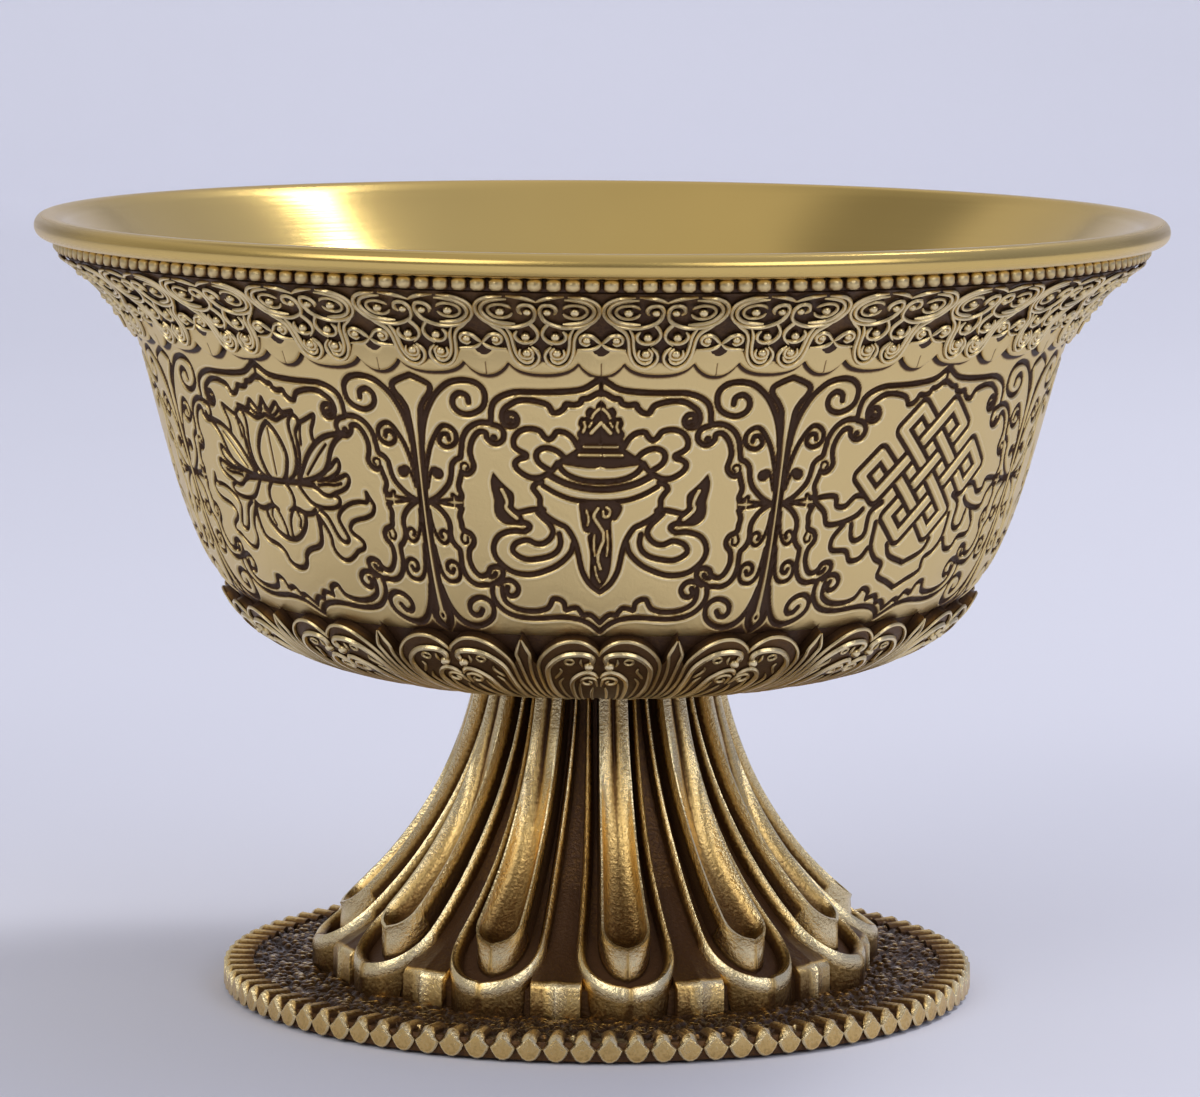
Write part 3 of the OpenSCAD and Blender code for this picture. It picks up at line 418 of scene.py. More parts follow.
def on_axis(r, turn, z):
    """Points at radius r and height z, turned from the front round the cup's axis."""
    return np.stack([r * np.sin(turn), -r * np.cos(turn), z + 0 * r * turn], -1)


class Surface:
    """A turned face of the cup that holds count repeats of a flat drawing: u round, s along the outline, h out."""

    def __init__(self, outline, repeat, count):
        self.repeat, self.count = repeat, count
        self.line = np.array(outline, float)
        self.along = np.r_[0, np.cumsum(np.hypot(*np.diff(self.line, axis=0).T))]
        slope = np.gradient(self.line, self.along, axis=0)
        slope /= np.linalg.norm(slope, axis=1)[:, None]
        self.out = np.c_[slope[:, 1], -slope[:, 0]]

    def place(self, u, s, h):
        """Lays a drawing's points on the face."""
        r, z, out, up = (np.interp(s, self.along, column) for column in (*self.line.T, *self.out.T))
        return on_axis(r + h * out, u * math.tau / self.repeat / self.count, z + h * up)

    def ground(self, name, u, face, back, wear_and_shading):
        """A thin ground all round, from s and h over one repeat's face and back."""
        columns = np.concatenate([u + k * self.repeat for k in range(self.count)])[None, :]
        sides = [self.place(columns, np.tile(s, self.count), np.tile(h, self.count)) for s, h in (face, back)]
        return slab(name, *sides, np.clip(np.tile(wear_and_shading, self.count), 0, 1), True)


def deselect():
    """Leaves edit mode, with nothing picked."""
    if bpy.context.object and bpy.context.object.mode != "OBJECT":
        bpy.ops.object.mode_set(mode="OBJECT")
    bpy.ops.object.select_all(action="DESELECT")


def pick(piece):
    """Picks one piece for the tools."""
    deselect()
    piece.select_set(True)
    bpy.context.view_layer.objects.active = piece


def points_of(piece):
    """The piece's points in mm."""
    flat = np.empty(len(piece.data.vertices) * 3)
    piece.data.vertices.foreach_get("co", flat)
    return flat.reshape(-1, 3) / MM


# The ornament is set out as points and faces: a modelling tool can't cut a drawn line this fine into a turned face,
# or lay a drawn scroll on one.
def new_piece(name, points, faces, wear_and_shading, crease=50):
    """A mesh piece from points in mm; wear_and_shading runs from 0 in a dark recess or painted shade
    to 1 on a rubbed crest or painted highlight.
    """
    deselect()
    mesh = bpy.data.meshes.new(name)
    mesh.from_pydata((np.asarray(points) * MM).tolist(), [], faces)
    piece = bpy.data.objects.new(name, mesh)
    bpy.context.scene.collection.objects.link(piece)
    set_wear_and_shading(piece, wear_and_shading)
    pick(piece)
    bpy.ops.object.shade_smooth_by_angle(angle=math.radians(crease))
    return piece


def set_wear_and_shading(piece, wear_and_shading):
    """Stores how much each point is rubbed, and the light and shade painted on it, for the metals to read."""
    layer = piece.data.attributes.new("wear_and_shading", "FLOAT", "POINT")
    layer.data.foreach_set("value", np.broadcast_to(wear_and_shading, len(piece.data.vertices)).astype(np.float32))


def settle(piece, finish, nodes=(), body="cup"):
    """Gives the piece its metal and its place in the frame."""
    piece.data.materials.clear()
    piece.data.materials.append(finish)
    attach(piece, body)
    if nodes:
        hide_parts(*nodes)


def face_out(piece):
    """Turns every face of a closed piece outwards."""
    pick(piece)
    bpy.ops.object.mode_set(mode="EDIT")
    bpy.ops.mesh.select_all(action="SELECT")
    bpy.ops.mesh.normals_make_consistent(inside=False)
    bpy.ops.object.mode_set(mode="OBJECT")


def lathe(name, outline, wear_and_shading, steps):
    """Turns a closed outline of radius and height in mm round the cup's axis; wear_and_shading is a function of both.
    """
    deselect()
    bpy.ops.mesh.primitive_circle_add(vertices=len(outline), radius=MM)
    piece = bpy.context.object
    piece.name = piece.data.name = name
    for vertex, (r, z) in zip(piece.data.vertices, outline):
        vertex.co = (0, -r * MM, z * MM)
    bpy.ops.object.mode_set(mode="EDIT")
    bpy.ops.mesh.select_all(action="SELECT")
    bpy.ops.mesh.spin(steps=steps, angle=math.tau, center=(0, 0, 0), axis=(0, 0, 1))
    bpy.ops.mesh.select_all(action="SELECT")
    bpy.ops.mesh.remove_doubles(threshold=2e-6)
    bpy.ops.mesh.delete_loose()
    face_out(piece)
    at = points_of(piece)
    set_wear_and_shading(piece, wear_and_shading(np.hypot(at[:, 0], at[:, 1]), at[:, 2]))
    bpy.ops.object.shade_smooth_by_angle(angle=math.radians(40))
    return piece


def quads(grid):
    """Four-cornered faces between the rows and columns of a grid of point numbers."""
    return np.stack([grid[:-1, :-1], grid[:-1, 1:], grid[1:, 1:], grid[1:, :-1]], -1).reshape(-1, 4)


def slab(name, face, back, wear_and_shading, closed):
    """Closes a fine outer face and a coarse back, grids of points with as many columns, into one solid."""
    rows, columns = face.shape[:2]
    front = np.arange(rows * columns).reshape(rows, columns)
    rear = front.size + np.arange(back.shape[0] * columns).reshape(-1, columns)
    if closed:
        front, rear = np.c_[front, front[:, :1]], np.c_[rear, rear[:, :1]]
    faces = np.concatenate([quads(front), quads(rear)[:, ::-1], quads(np.stack([rear[0], front[0]])),
                            quads(np.stack([front[-1], rear[-1]]))]).tolist()
    if not closed:
        faces.append([*front[:, 0].tolist(), *rear[::-1, 0].tolist()])
        faces.append([*rear[:, -1].tolist(), *front[::-1, -1].tolist()])
    wear_and_shading = np.r_[wear_and_shading.ravel(), np.zeros(back.shape[0] * columns)]
    return new_piece(name, np.concatenate([face.reshape(-1, 3), back.reshape(-1, 3)]), faces, wear_and_shading)


def set_round(name, shape, faces, wear_and_shading, count, start=0.0, crease=50):
    """A piece of count copies of a shape that faces the front, set round the cup's axis from the angle start on."""
    turns = start + math.tau * np.arange(count)[:, None] / count
    c, s = np.cos(turns), np.sin(turns)
    x, y, z = shape.T
    points = np.stack([x * c - y * s, x * s + y * c, z + 0 * turns], -1).reshape(-1, 3)
    copies = [[corner + i * len(shape) for corner in face] for i in range(count) for face in faces]
    return new_piece(name, points, copies, np.tile(wear_and_shading, count), crease)


def granule():
    """One small ball as points and faces, radius 1."""
    deselect()
    bpy.ops.mesh.primitive_uv_sphere_add(segments=8, ring_count=4, radius=MM)
    ball = bpy.context.object
    made = points_of(ball), [list(face.vertices) for face in ball.data.polygons]
    bpy.data.objects.remove(ball)
    return made


def flat_ornament(wires, balls):
    """Round wires (radius, height, points) and balls (u, s, radius, height), joined while they are still flat."""
    deselect()
    line = bpy.data.curves.new("wire", "CURVE")
    line.dimensions, line.twist_mode = "3D", "Z_UP"
    line.bevel_depth, line.bevel_resolution, line.use_fill_caps = 1, 1, True
    for radius, height, points in wires:
        # a wire thins out over its last points
        path = smooth(points, 3)
        run = line.splines.new("POLY")
        run.points.add(len(path) - 1)
        taper = np.minimum(np.arange(len(path)), np.arange(len(path))[::-1])
        for point, (u, s), thin in zip(run.points, path, np.clip(.45 + .2 * taper, 0, 1)):
            point.co, point.radius = (u * MM, s * MM, height * MM, 1), radius * thin * MM
    wire = bpy.data.objects.new("wire", line)
    bpy.context.scene.collection.objects.link(wire)
    pick(wire)
    bpy.ops.object.convert(target="MESH")
    wire = bpy.context.object
    points = [points_of(wire)]
    faces = [list(face.vertices) for face in wire.data.polygons]
    bpy.data.objects.remove(wire)
    ball, ball_faces = granule()
    for u, s, radius, height in balls:
        start = sum(map(len, points))
        points.append(ball * radius + (u, s, height))
        faces += [[corner + start for corner in face] for face in ball_faces]
    return np.concatenate(points), faces


def mirrored(lines, middle=0.0):
    """A list of lines and its mirror image."""
    return lines + [(*line[:-1], [(2 * middle - u, *rest) for u, *rest in line[-1]]) for line in lines]


class Engraving:
    """One panel's drawing as a field: mm from the nearest edge of a cut, below 0 inside it."""
    # mm from a cut within which the wall still shows it
    reach = 1.3

    def __init__(self, u, v, half):
        self.u, self.v, self.half = u, v, half
        self.field = np.full((len(v), len(u)), self.reach)

    def window(self, points, pad):
        """The rows and columns of the field that lie within pad of the points."""
        low, high = points.min(0) - pad, points.max(0) + pad
        i0, i1 = np.searchsorted(self.u, [low[0], high[0]])
        j0, j1 = np.searchsorted(self.v, [low[1], high[1]])
        return slice(j0, j1), slice(i0, i1)

    def nearest(self, line, half, pad):
        """Distance from the edge of a line with half widths, over the window that it reaches."""
        whole = self.window(line, pad)
        far = np.full_like(self.field, FAR)
        for a, b, wide, next_wide in zip(line[:-1], line[1:], half[:-1], half[1:]):
            near = self.window(np.stack([a, b]), pad)
            du, dv = self.u[near[1]][None, :] - a[0], self.v[near[0]][:, None] - a[1]
            run = b - a
            t = np.clip((du * run[0] + dv * run[1]) / max(run @ run, 1e-9), 0, 1)
            edge = np.hypot(du - t * run[0], dv - t * run[1]) - wide - (next_wide - wide) * t
            far[near] = np.minimum(far[near], edge)
        return whole, far[whole]

    def draw(self, lines):
        """Cuts lines, hollows out outlines, and spares lines inside a hollow."""
        for kind, half, points in lines:
            if kind == "hollow":
                points = [*points, points[0]]
            line = smooth(points) if len(points) > 2 else np.array(points, float)
            wide = line[:, 2] if line.shape[1] == 3 else np.full(len(line), half or self.half)
            line = line[:, :2]
            if kind == "hollow":
                whole, far = self.nearest(line, 0 * wide, self.reach)
                far = np.where(self.within(line, whole), -far, far)
            else:
                whole, far = self.nearest(line, wide, wide.max() + self.reach)
            if kind == "spare":
                self.field[whole] = np.maximum(self.field[whole], -far)
            else:
                self.field[whole] = np.minimum(self.field[whole], far)

    def within(self, line, whole):
        """Which points of the window lie inside a closed line."""
        u, v = self.u[whole[1]][None, :], self.v[whole[0]][:, None]
        inside = np.zeros((v.shape[0], u.shape[1]), bool)
        for (u0, v0), (u1, v1) in zip(line[:-1], line[1:]):
            if v0 != v1:
                inside ^= ((v0 > v) != (v1 > v)) & (u < (u1 - u0) * (v - v0) / (v1 - v0) + u0)
        return inside

    def weave_knot(self, middle, pitch, strand, line):
        """The endless knot: strands of a turned lattice, over and under by turns."""
        u, v = self.u[None, :], self.v[:, None] - middle
        across = {"rising": (v - u) / math.sqrt(2), "falling": (u + v) / math.sqrt(2)}
        along = {"rising": across["falling"], "falling": across["rising"]}
        spans = {2: [(-2, -1), (0, 1)], 1: [(-2, 2)], 0: [(-2, 2)], -1: [(-2, 2)], -2: [(-1, 0), (1, 2)]}
        best = {}
        for way in across:
            far, row = np.full(self.field.shape, FAR), np.zeros(self.field.shape, int)
            for place, stretches in spans.items():
                for start, end in stretches:
                    mid, reach = (start + end) / 2 * pitch, (end - start) / 2 * pitch
                    over = np.maximum(np.abs(along[way] - mid) - reach, 0)
                    d = np.hypot(across[way] - place * pitch, over)
                    nearer = d < far
                    far, row = np.where(nearer, d, far), np.where(nearer, place, row)
            best[way] = far, row
        (d1, row1), (d2, row2) = best["rising"], best["falling"]
        near = strand + 2 * line
        both = (d1 < near) & (d2 < near)
        rising_over = (row1 + row2) % 2 == 0
        shape = np.where(both, np.where(rising_over, d1, d2), np.minimum(d1, d2))
        # at a corner the two strands join, with nothing passing under
        corner = both & (np.maximum(np.abs(row1), np.abs(row2)) == 2)
        shape = np.where(corner, np.minimum(d1, d2), shape)
        cut = np.abs(shape - strand - line) - line
        woven = np.where(shape < strand, np.maximum(strand - shape, cut), np.minimum(self.field, cut))
        self.field = np.where(shape < near + .4, woven, self.field)


def ring(u, v, r, start=0, end=360, steps=24):
    """A drawn circle or arc."""
    a = np.radians(np.linspace(start, end, steps + 1))
    return list(zip((u + r * np.cos(a)).tolist(), (v + r * np.sin(a)).tolist()))


def wheel():
    """The wheel: a rim and a hub, eight spokes between them and eight knobs outside."""
    middle, rim, hub = 1.2, 4.9, 1.9
    lines = [("cut", 0, ring(0, middle, r)) for r in (6.1, rim, hub, .9)]
    for i in range(8):
        c, s = math.cos(math.pi * i / 4), math.sin(math.pi * i / 4)
        for half, start, end in ((.32, hub, rim), (.4, 6.8, 6.9)):
            lines.append(("cut", half, [(start * c, middle + start * s), (end * c, middle + end * s)]))
    return lines


def add_node(tree, kind, links=None, **settings):
    """Adds a node with its settings; links gives its inputs a value or another node's output.
    By number, a map range has its old range at 1 and 2 and its new one at 3 and 4; a mix has its colours at 6 and 7."""
    made = tree.nodes.new(kind)
    for key, value in settings.items():
        setattr(made, key, value)
    for key, value in (links or {}).items():
        if isinstance(value, bpy.types.NodeSocket):
            tree.links.new(value, made.inputs[key])
        else:
            made.inputs[key].default_value = value
    return made


def new_material(name):
    """An empty material and its node tree."""
    material = bpy.data.materials.new(name)
    material.use_nodes = True
    material.node_tree.nodes.clear()
    return material, material.node_tree


def patinated_brass(name, stops, grain_mm, grain_depth, speckle, rough, blotch=.14):
    """Cast brass, blackened and then rubbed back: dark in the recesses, brown at their edges, gold on the crests, and
    lighter or darker where highlights and shade are painted into the wear_and_shading attribute. stops are
    wear_and_shading and colour pairs; grain is the sandy skin that the mould leaves, and speckle and blotch are how far
    the grain and the cloudy patina shift it; rough is for a recess and for a crest."""
    material, tree = new_material(name)
    at = add_node(tree, "ShaderNodeTexCoord").outputs["Object"]
    wear_and_shading = add_node(tree, "ShaderNodeAttribute", attribute_name="wear_and_shading").outputs["Fac"]
    grain = add_node(tree, "ShaderNodeTexNoise",
                     {"Vector": at, "Scale": 1000 / grain_mm, "Detail": 3.0, "Roughness": .6}).outputs["Fac"]
    cloud = add_node(tree, "ShaderNodeTexNoise", {"Vector": at, "Scale": 1000 / 7, "Detail": 3.0}).outputs["Fac"]
    worn_and_shaded = add_node(tree, "ShaderNodeMath", {0: grain, 1: speckle, 2: wear_and_shading}, operation="MULTIPLY_ADD").outputs[0]
    worn_and_shaded = add_node(tree, "ShaderNodeMath", {0: cloud, 1: blotch, 2: worn_and_shaded}, operation="MULTIPLY_ADD").outputs[0]
    worn_and_shaded = add_node(tree, "ShaderNodeMath", {0: worn_and_shaded, 1: (speckle + blotch) / 2}, operation="SUBTRACT").outputs[0]
    ramp = add_node(tree, "ShaderNodeValToRGB", {"Fac": worn_and_shaded})
    while len(ramp.color_ramp.elements) < len(stops):
        ramp.color_ramp.elements.new(.5)
    for element, (place, rgb) in zip(ramp.color_ramp.elements, stops):
        element.position, element.color = place, (*rgb, 1)
    metal = add_node(tree, "ShaderNodeMapRange", {"Value": worn_and_shaded, 1: .12, 2: .34, 3: .3, 4: 1.0}).outputs[0]
    skin = add_node(tree, "ShaderNodeMapRange", {"Value": worn_and_shaded, 1: .1, 2: .8, 3: rough[0], 4: rough[1]}).outputs[0]
    bump = add_node(tree, "ShaderNodeBump", {"Height": grain, "Distance": grain_depth * MM, "Strength": 1.0})
    shader = add_node(tree, "ShaderNodeBsdfPrincipled", {
        "Base Color": ramp.outputs["Color"], "Metallic": metal, "Roughness": skin, "Specular IOR Level": .3,
        "Normal": bump.outputs["Normal"]})
    add_node(tree, "ShaderNodeOutputMaterial", {"Surface": shader.outputs[0]})
    return material


def turned_brass(look):
    """Bare lathe-turned brass: clean yellow metal with fine rings round the axis that stretch the lights."""
    material, tree = new_material("lathe_turned_brass")
    at = add_node(tree, "ShaderNodeTexCoord").outputs["Object"]
    part = add_node(tree, "ShaderNodeSeparateXYZ", {0: at})
    square = [add_node(tree, "ShaderNodeMath", {0: part.outputs[i], 1: 2.0}, operation="POWER").outputs[0]
              for i in (0, 1)]
    radius = add_node(tree, "ShaderNodeMath", {0: square[0], 1: square[1]}, operation="ADD").outputs[0]
    radius = add_node(tree, "ShaderNodeMath", {0: radius}, operation="SQRT").outputs[0]
    section = add_node(tree, "ShaderNodeCombineXYZ", {0: radius, 1: part.outputs[2]}).outputs[0]
    # tool marks about 0.5 mm apart: the real ones are finer, and wouldn't show
    rings = add_node(tree, "ShaderNodeTexNoise",
                     {"Vector": section, "Scale": 1000 / .5, "Detail": 2.0}).outputs["Fac"]
    cloud = add_node(tree, "ShaderNodeTexNoise", {"Vector": at, "Scale": 1000 / 18, "Detail": 2.0}).outputs["Fac"]
    tint = add_node(tree, "ShaderNodeMix", {0: cloud, 6: (*look.turned, 1), 7: (*[c * .84 for c in look.turned], 1)},
                    data_type="RGBA").outputs[2]
    skin = add_node(tree, "ShaderNodeMapRange", {"Value": rings, 3: .1, 4: .19}).outputs[0]
    satin = add_node(tree, "ShaderNodeAttribute", attribute_name="wear_and_shading").outputs["Fac"]
    skin = add_node(tree, "ShaderNodeMath", {0: satin, 1: .12, 2: skin}, operation="MULTIPLY_ADD").outputs[0]
    bump = add_node(tree, "ShaderNodeBump", {"Height": rings, "Distance": .005 * MM, "Strength": 1.0})
    shader = add_node(tree, "ShaderNodeBsdfPrincipled", {
        "Base Color": tint, "Metallic": 1.0, "Roughness": skin, "Anisotropic": .45, "Normal": bump.outputs["Normal"],
        "Tangent": add_node(tree, "ShaderNodeTangent", direction_type="RADIAL", axis="Z").outputs[0]})
    add_node(tree, "ShaderNodeOutputMaterial", {"Surface": shader.outputs[0]})
    return material


def zinc_steel(look):
    """Zinc-plated steel: pale grey metal with a faint cloudy crystal."""
    material, tree = new_material("zinc_plated_steel")
    at = add_node(tree, "ShaderNodeTexCoord").outputs["Object"]
    cloud = add_node(tree, "ShaderNodeTexNoise", {"Vector": at, "Scale": 1000 / 1.2, "Detail": 3.0}).outputs["Fac"]
    tint = add_node(tree, "ShaderNodeMix", {0: cloud, 6: (*look.zinc, 1), 7: (*[c * .7 for c in look.zinc], 1)},
                    data_type="RGBA").outputs[2]
    skin = add_node(tree, "ShaderNodeMapRange", {"Value": cloud, 3: .3, 4: .5}).outputs[0]
    bump = add_node(tree, "ShaderNodeBump", {"Height": cloud, "Distance": .01 * MM, "Strength": 1.0})
    shader = add_node(tree, "ShaderNodeBsdfPrincipled", {
        "Base Color": tint, "Metallic": 1.0, "Roughness": skin, "Normal": bump.outputs["Normal"]})
    add_node(tree, "ShaderNodeOutputMaterial", {"Surface": shader.outputs[0]})
    return material


def metal(name):
    """One of the cup's metals, made the first time that a piece asks for it."""
    if name in bpy.data.materials:
        return bpy.data.materials[name]
    look = bpy.context.scene.cup_colours
    if name == "lathe_turned_brass":
        return turned_brass(look)
    if name == "zinc_plated_steel":
        return zinc_steel(look)
    dark, brown, gold, wire, cast, bright = (
        tuple(c) for c in (look.patina_and_shade, look.tarnish, look.brass, look.wire, look.cast, look.polished_and_highlight))
    finishes = {
        # chased wall: an even satin gold, black in the cut lines, and dark where shade is painted under the collar and
        # round the calyx
        "chased_brass": ([(.1, dark), (.24, brown), (.46, gold), (.8, gold), (1, bright)],
                         .3, .03, .14, (.5, .34), .2),
        # wire, granules and beads: black between them and rubbed bright on top
        "rubbed_brass": ([(.14, dark), (.36, brown), (.62, wire), (1, bright)], .28, .03, .16, (.5, .3)),
        # punched ground of the base: grey-black skin, rubbed on the grains' tops, glossy enough to pick up the paper
        "punched_brass": ([(.1, tuple(.7 * c for c in dark)), (.38, brown), (.66, wire), (1, bright)],
                          .25, .05, .3, (.3, .18)),
        # sand-cast stem and base: a grainy skin that keeps the patina in its pits
        "sand_cast_brass": ([(.16, tuple(1.4 * c for c in dark)), (.38, brown), (.64, cast), (1, bright)],
                            .3, .08, .4, (.44, .25)),
    }
    return patinated_brass(name, *finishes[name])


class CUP_OT_turned_liner(bpy.types.Operator):
    """Turn the bright liner with its rolled lip"""
    bl_idname = "cup.turned_liner"
    bl_label = "Turned liner"
    # the lip is handled, and so it is more satin than the inside: from this radius on, over this width
    satin_from, satin_over = 49.8, .8

    def execute(self, context):
        def side(inset, floor_z):
            rise = wall(inset)[14:]
            reach = rise[0][0] - LINER_FLAT_R
            knee = bezier((LINER_FLAT_R, floor_z), (.6 * reach, 0), (1.6, 3.4), rise[0], 20)
            return np.vstack([knee, rise[1:]])

        inset = SHELL_T + LINER_GAP
        nose = np.array([RIM_R - LIP_NOSE_R, CUP_H - LIP_NOSE_R - .01])
        a = np.radians(np.linspace(-90, 133, 27))
        roll = nose + LIP_NOSE_R * np.c_[np.cos(a), np.sin(a)]
        ledge = roll[0][1] - .03
        inner, outer = side(inset + LINER_T, LINER_FLOOR_Z + LINER_T), side(inset, LINER_FLOOR_Z)
        # inside, the bowl opens like a funnel from the wall to the lip
        throat = bezier(inner[-1], (.6, 2.0), (5.5, 5.1), roll[-1], 44)[1:-1]
        neck = bezier(outer[-1], (.6, 1.9), (4.4, 4.05), (LAND[0] - .58, SHELL_TOP_Z + .02), 40)[1:]
        outline = np.vstack([
            [(0, LINER_FLOOR_Z)], outer, neck, [(LAND[0] + .06, SHELL_TOP_Z + .02), (LAND[0] + .1, ledge)],
            roll, throat[::-1], inner[::-1], [(0, LINER_FLOOR_Z + LINER_T)]])
        piece = lathe("turned_liner", outline, lambda r, z: eased((r - self.satin_from) / self.satin_over), 320)
        settle(piece, metal("lathe_turned_brass"), ["bowl_liner"], "liner")
        return {"FINISHED"}


class CUP_OT_outer_bowl(bpy.types.Operator):
    """Turn the outer bowl, with a recess all round that the engraved panels fill"""
    bl_idname = "cup.outer_bowl"
    bl_label = "Outer bowl"
    seat: bpy.props.FloatProperty(name="Seat", description="Depth of the recess", default=.8 * MM, unit="LENGTH")

    def execute(self, context):
        seat = self.seat / MM
        bare, sunk = flare(), flare(seat)
        throat = bezier(wall(SHELL_T)[-1], (.6, 1.8), (4.25, 4.2), (LAND[0] - .3, SHELL_TOP_Z), 40)
        outline = np.vstack([
            [(BOLT_HOLE_R, SHELL_FLOOR_Z)], underside(SHELL_INSET, WALL_FOOT[1]), wall(seat)[:-1],
            sunk[sunk[:, 1] < PANEL_TOP_Z], bare[bare[:, 1] >= PANEL_TOP_Z],
            [(LAND[0], SHELL_TOP_Z)], throat[::-1], wall(SHELL_T)[-2::-1],
            underside(SHELL_INSET + SHELL_T, WALL_FOOT[1])[-2::-1], [(BOLT_HOLE_R, SHELL_FLOOR_Z + SHELL_T)]])
        # dark all over: where it shows, under the collar's scallops, it is patina and painted shade
        piece = lathe("outer_bowl", outline, lambda r, z: np.full_like(r, .1), 192)
        settle(piece, metal("chased_brass"), ["bowl_shell"])
        return {"FINISHED"}


class CUP_OT_engraved_panels(bpy.types.Operator):
    """Cut the eight engraved panels of the wall"""
    bl_idname = "cup.engraved_panels"
    bl_label = "Engraved panels"
    # radius at which the drawing's u is in true mm; its v is height above middle_z, stretched a little to fill the wall
    unit_r, middle_z, stretch = 40.0, 50.16, 1.014
    thick, back_rows = .78, 15

    def execute(self, context):
        sizes = context.scene.cup_sizes
        half_u = math.pi * self.unit_r / PANEL_N
        step = sizes.panel_step / MM
        u = np.linspace(-half_u, half_u, round(2 * half_u / step) + 1)
        z = np.linspace(WALL_FOOT[1], PANEL_TOP_Z, round((PANEL_TOP_Z - WALL_FOOT[1]) / step) + 1)
        v = (z - self.middle_z) / self.stretch
        common = Engraving(u, v, sizes.groove_half / MM)
        common.draw(mirrored(CARTOUCHE))
        for axis in (-half_u, half_u):
            common.draw([(kind, half, [(axis + w, *rest) for w, *rest in points])
                         for kind, half, points in mirrored(TREE)])
        # from the front to the viewer's right
        drawings = {
            "vase": mirrored(VASE) + VASE_LEAF, "knot": mirrored(KNOT_SURROUND), "conch": mirrored(RIBBONS) + CONCH,
            "banner": mirrored(BANNER), "wheel": mirrored(RIBBONS) + wheel(), "parasol": mirrored(PARASOL),
            "fishes": mirrored(FISHES), "lotus": mirrored(LOTUS)}
        outline = np.vstack([wall(), flare()[1:]])
        collar = Surface(flare(), REPEAT, UNIT_N)
        back_z = np.linspace(WALL_FOOT[1], PANEL_TOP_Z, self.back_rows)
        for i, (name, lines) in enumerate(drawings.items()):
            panel = Engraving(u, v, sizes.groove_half / MM)
            panel.field = common.field.copy()
            panel.draw(lines)
            if name == "knot":
                panel.weave_knot(middle=2.0, pitch=2.72, strand=.42, line=.23)
            field = panel.field
            # a cut with sloping sides, the wall dipping towards it, and a low burr along its edge
            sunk = -eased((.08 - field) / .28) * sizes.groove_depth / MM - .09 * np.exp(-np.maximum(field, 0) / .35)
            sunk += .06 * np.exp(-((field - .2) / .11) ** 2)
            # black patina in the cut, a bright burr along its edge that is partly rubbed metal and partly a painted
            # highlight, even gold beyond
            wear_and_shading = .7 * eased((field + .06) / .17) + .3 * np.exp(-((field - .17) / .1) ** 2)
            turn = u[None, :] / self.unit_r + i * math.tau / PANEL_N
            # patina and painted shade gather under the collar's scallops and round the calyx's hearts
            repeat = np.abs((turn * UNIT_N / math.tau + .5) % 1 - .5) * REPEAT
            lace = np.interp(np.interp(repeat, *scallop_edge().T), collar.along, collar.line[:, 1])
            below = lace - z[:, None]
            wear_and_shading -= .75 * np.exp(-(np.maximum(below, 0) / .22) ** 2) + .3 * np.exp(-np.maximum(below, 0) / 1.2)
            heart = np.abs((turn * HEART_N / math.tau + .5) % 1 - .5) * HEART_PITCH
            above = z[:, None] - WALL_FOOT[1] - np.interp(heart, *np.array(HEART_EDGE).T) + HEART_EDGE[-1][1]
            wear_and_shading -= .5 * np.exp(-(np.maximum(above - .1, 0) / .55) ** 2) + .22 * np.exp(-np.maximum(above, 0) / 1.3)
            # and patina and painted shade also at the foot of each tree
            foot = np.hypot((half_u - np.abs(u[None, :])) / 3.4, (z[:, None] - WALL_FOOT[1] - .3) / 1.5)
            wear_and_shading -= .6 * np.exp(-foot ** 2)

            def laid(level, depth):
                r = np.interp(level, outline[:, 1], outline[:, 0])[:, None] + depth
                return on_axis(r, turn, level[:, None])

            piece = slab(f"engraved_panel_{name}", laid(z, sunk), laid(back_z, -self.thick + 0 * turn),
                         np.clip(wear_and_shading, 0, 1), False)
            settle(piece, metal("chased_brass"))
        return {"FINISHED"}


class CUP_OT_lip_beads(bpy.types.Operator):
    """Set the row of small beads under the lip"""
    bl_idname = "cup.lip_beads"
    bl_label = "Lip beads"
    bead_r, bead_h, bevel = .82, 1.04, .24
    # where a bead's middle stands outside the strip's back, and how far its round is pressed flat
    bead_out, flatten = .85, .75

    def execute(self, context):
        middle_z = (LAND[1] + SHELL_TOP_Z) / 2 + .43
        strip_r = LAND[0] + .05
        outline = [(strip_r, middle_z - .6), (strip_r + .8, middle_z - .55), (strip_r + .9, middle_z),
                   (strip_r + .8, middle_z + .4), (strip_r + .2, middle_z + .4), (strip_r, middle_z + .2)]
        # the strip is dark all over: painted shade, with patina, in the gaps between the beads
        strip = lathe("lip_strip", outline, lambda r, z: np.full_like(r, .06), 196)
        settle(strip, metal("rubbed_brass"))
        # one bead: a short upright barrel, its ends drawn in
        deselect()
        bpy.ops.mesh.primitive_cylinder_add(vertices=8, radius=self.bead_r * MM, depth=self.bead_h * MM,
                                            end_fill_type="NGON")
        bead = bpy.context.object
        bpy.ops.object.mode_set(mode="EDIT")
        bpy.ops.mesh.select_all(action="SELECT")
        bpy.ops.transform.rotate(value=math.pi / 8, orient_axis="Z", center_override=(0, 0, 0))
        bpy.ops.mesh.bevel(offset=self.bevel * MM, segments=1, affect="EDGES")
        bpy.ops.object.mode_set(mode="OBJECT")
        shape, faces = points_of(bead), [list(face.vertices) for face in bead.data.polygons]
        bpy.data.objects.remove(bead)
        out = -shape[:, 1]
        # brighter in front, partly rubbed and partly a painted highlight, and darker on the lower half as painted shade
        wear_and_shading = np.interp(out - .12 * np.abs(shape[:, 0]), [-.05, .3, .66], [.16, .5, .78]) - .18 * (shape[:, 2] < 0)
        shape = np.c_[shape[:, 0], -(strip_r + self.bead_out + self.flatten * out), middle_z + shape[:, 2]]
        piece = set_round("lip_beads", shape, faces, np.clip(wear_and_shading, 0, 1), LIP_BEAD_N, math.pi / LIP_BEAD_N)
        settle(piece, metal("rubbed_brass"), ["lip_beading"])
        return {"FINISHED"}


